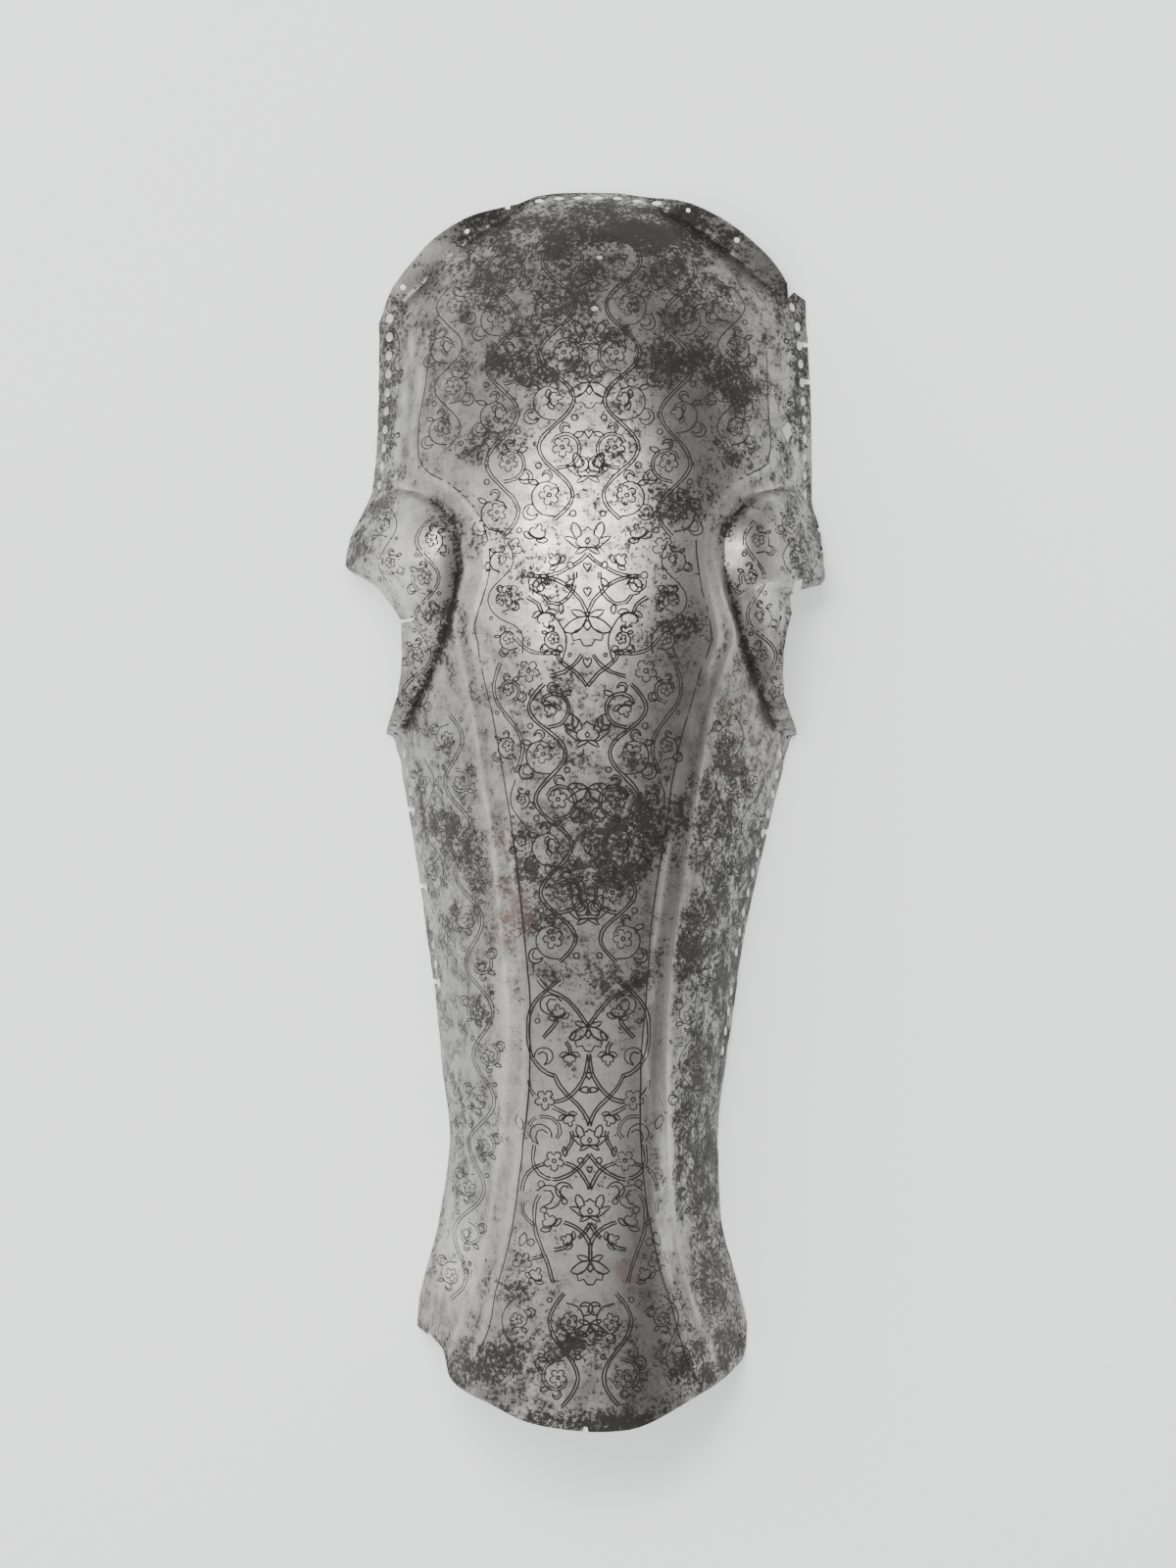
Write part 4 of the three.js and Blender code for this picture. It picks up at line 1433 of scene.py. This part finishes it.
def power(name, description, default):
    return FloatProperty(name=name, description=description, default=default, unit="POWER")


def strength(name, description, default):
    return FloatProperty(
        name=name, description=description, default=default, min=0.0, soft_max=2.0
    )


def tint(name, description, default):
    return FloatVectorProperty(
        name=name, description=description, default=default, size=3, subtype="COLOR"
    )


class ShaffronSheet(PropertyGroup):
    thickness: length("Thickness", "Thickness of the hammered sheet", 0.0013)
    ridge_height: length(
        "Ridge height", "How far the rounded borders of the bands stand up", 0.0012
    )
    ridge_width: length("Ridge half width", "Half the width of a rounded border", 0.0017)
    hammer_depth: length(
        "Hammering", "Depth of the gentle waves that the raising hammer left", 0.00032
    )
    line_width: length("Line width", "Width of the engraved lines", 0.0008)
    line_depth: length("Line depth", "How deep the lines are pressed into the steel", 0.00026)


class ShaffronSteel(PropertyGroup):
    clean: tint("Clean steel", "Grey of the bare steel", (0.26, 0.254, 0.238))
    dull: tint("Dull steel", "Grey of the tarnished steel", (0.115, 0.111, 0.102))
    # Painted highlight: this bright colour is laid where the lights reflect, and on the rubbed
    # ridges.
    bright: tint("Bright steel", "Colour of the rubbed steel", (0.78, 0.76, 0.72))
    # The flecks of this colour also paint the shade on the rim at the poll and the right cheek.
    patina_and_shade: tint("Patina", "Colour of the dark patina", (0.024, 0.023, 0.021))
    brown: tint("Brown patina", "Colour of the browner patina", (0.037, 0.033, 0.028))
    rust: tint("Rust", "Colour of the rust stains", (0.20, 0.145, 0.125))
    groove: tint("Engraved line", "Colour of the engraved lines", (0.018, 0.016, 0.014))


class ShaffronStudio(PropertyGroup):
    paper: tint("Paper", "Colour of the studio floor", (0.90, 0.915, 0.91))
    key_power: power("Key light", "Power of the soft light beyond the poll", 30.0)
    fill_power: power("Fill light", "Power of the broad light on the left", 12.0)
    sky: strength("Room light", "Strength of the pale room all round", 0.75)
    glow: strength("Floor glow", "How much light the floor gives out itself", 0.66)
    camera_height: length("Camera height", "Height of the camera above the floor", 2.8)


# Soft lights: place, what they are aimed at, width, depth.
KEY_LIGHT = ((-0.3, 0.66, 1.9), (0, 0.1, 0.08), 1.1, 0.5)
FILL_LIGHT = ((-1.7, 0.2, 1.4), (0, 0, 0.03), 1.2, 1.6)

FLOOR_REACH = 4
FLOOR_DROP = 0.0002
ROOM_COLOUR = (0.97, 0.985, 1.0, 1.0)
ROOM_FADE = 0.8
ROOM_LEFT = 1.5
ROOM_RIGHT = 0.5
CAMERA_OVER = (0.0014, 0.0097)
CAMERA_LENS = 135
CAMERA_CLIP = 20
SHARP_ANGLE = 32


def lay_floor(studio):
    bm = bmesh.new()
    bmesh.ops.create_grid(bm, x_segments=1, y_segments=1, size=FLOOR_REACH)
    bmesh.ops.translate(bm, verts=bm.verts, vec=(0, 0, -FLOOR_DROP))
    floor = object_from("studio_floor", bm)
    floor.data.materials.append(floor_finish(studio))


def hang_light(name, place, target, width, depth, energy):
    lamp = bpy.data.lights.new(name, "AREA")
    lamp.shape = "RECTANGLE"
    lamp.size = width
    lamp.size_y = depth
    lamp.energy = energy
    holder = new_object(name, lamp)
    holder.location = place
    aim = Vector(target) - Vector(place)
    holder.rotation_euler = aim.to_track_quat("-Z", "Y").to_euler()


def pale_room(sky):
    """A pale room all round, brighter on the left."""
    world = bpy.data.worlds.new("pale_room")
    world.use_nodes = True
    nodes, links = world.node_tree.nodes, world.node_tree.links
    background = nodes["Background"]
    background.inputs["Color"].default_value = ROOM_COLOUR
    place = nodes.new("ShaderNodeTexCoord").outputs["Generated"]
    axes = nodes.new("ShaderNodeSeparateXYZ")
    fade = nodes.new("ShaderNodeMapRange")
    fade.inputs["From Min"].default_value = -ROOM_FADE
    fade.inputs["From Max"].default_value = ROOM_FADE
    fade.inputs["To Min"].default_value = sky * ROOM_LEFT
    fade.inputs["To Max"].default_value = sky * ROOM_RIGHT
    links.new(place, axes.inputs[0])
    links.new(axes.outputs["X"], fade.inputs["Value"])
    links.new(fade.outputs["Result"], background.inputs["Strength"])
    return world


def camera_above(camera_height):
    lens = bpy.data.cameras.new("camera")
    lens.lens = CAMERA_LENS
    lens.clip_end = CAMERA_CLIP
    camera = new_object("camera", lens)
    camera.location = (*CAMERA_OVER, camera_height)
    return camera


class SHAFFRON_OT_plate(Operator):
    """Build the hammered sheet with its hoods, bands, flange, holes and worn edges"""

    bl_idname = "shaffron.plate"
    bl_label = "Plate"
    bl_options = {"REGISTER", "UNDO"}

    def execute(self, context):
        plate = sheet_object(context.scene.shaffron_sheet)
        for cutter in (*drill_objects(), notches_object(), floor_object()):
            cut(plate, cutter)
        plate.data.materials.clear()
        plate.data.materials.append(steel_finish(context.scene.shaffron_steel))
        return {"FINISHED"}


class SHAFFRON_OT_engraving(Operator):
    """Press the arabesque of stems, flowers and leaves into the plate's outer face"""

    bl_idname = "shaffron.engraving"
    bl_label = "Engraving"
    bl_options = {"REGISTER", "UNDO"}

    def execute(self, context):
        sheet = context.scene.shaffron_sheet
        surface = Surface(bpy.data.objects["shaffron"])
        curve = line_curve(Engraving().lay(), surface, sheet.line_width)
        lines = pressed_in(curve, surface, sheet.line_depth)
        lines.data.materials.append(groove_finish(context.scene.shaffron_steel))
        return {"FINISHED"}


class SHAFFRON_OT_finish(Operator):
    # Writes the wear together with the painted shade and highlights, then settles the pieces and
    # smooths their shading.
    bl_idname = "shaffron.finish"
    bl_label = "Wear and placing"
    bl_options = {"REGISTER", "UNDO"}

    def execute(self, context):
        plate = bpy.data.objects["shaffron"]
        mark_wear_and_painted_light(plate)
        lines = bpy.data.objects["engraved_lines"]
        settle(plate, lines)
        plate.data.shade_smooth()
        plate.data.set_sharp_from_angle(angle=math.radians(SHARP_ANGLE))
        plate.vertex_groups.clear()
        lines.data.shade_smooth()
        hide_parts("shaffron_plate")
        for piece in (plate, lines):
            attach(piece, "root")
        return {"FINISHED"}


class SHAFFRON_OT_stage(Operator):
    """Lay the pale floor, hang the soft lights and set the camera straight above"""

    bl_idname = "shaffron.stage"
    bl_label = "Studio"
    bl_options = {"REGISTER", "UNDO"}

    def execute(self, context):
        studio = context.scene.shaffron_studio
        lay_floor(studio)
        hang_light("key_light", *KEY_LIGHT, studio.key_power)
        hang_light("fill_light", *FILL_LIGHT, studio.fill_power)
        context.scene.world = pale_room(studio.sky)
        context.scene.camera = camera_above(studio.camera_height)
        return {"FINISHED"}


class SHAFFRON_PT_panel(Panel):
    """Sizes, colours and building steps of the shaffron"""

    bl_label = "Shaffron"
    bl_idname = "SHAFFRON_PT_panel"
    bl_space_type = "VIEW_3D"
    bl_region_type = "UI"
    bl_category = "Shaffron"

    def draw(self, context):
        layout = self.layout
        for name in GROUPS:
            settings = getattr(context.scene, name)
            for prop in type(settings).__annotations__:
                layout.prop(settings, prop)
        for step in STEPS:
            layout.operator(step.bl_idname)


GROUPS = {
    "shaffron_sheet": ShaffronSheet,
    "shaffron_steel": ShaffronSteel,
    "shaffron_studio": ShaffronStudio,
}
STEPS = (SHAFFRON_OT_plate, SHAFFRON_OT_engraving, SHAFFRON_OT_finish, SHAFFRON_OT_stage)
CLASSES = (*GROUPS.values(), *STEPS, SHAFFRON_PT_panel)


def register():
    for cls in CLASSES:
        bpy.utils.register_class(cls)
    for name, group in GROUPS.items():
        setattr(bpy.types.Scene, name, PointerProperty(type=group))


def unregister():
    for name in GROUPS:
        delattr(bpy.types.Scene, name)
    for cls in reversed(CLASSES):
        bpy.utils.unregister_class(cls)


def main():
    register()
    bpy.ops.shaffron.plate()
    bpy.ops.shaffron.engraving()
    bpy.ops.shaffron.finish()
    bpy.ops.shaffron.stage()


if __name__ == "__main__":
    main()
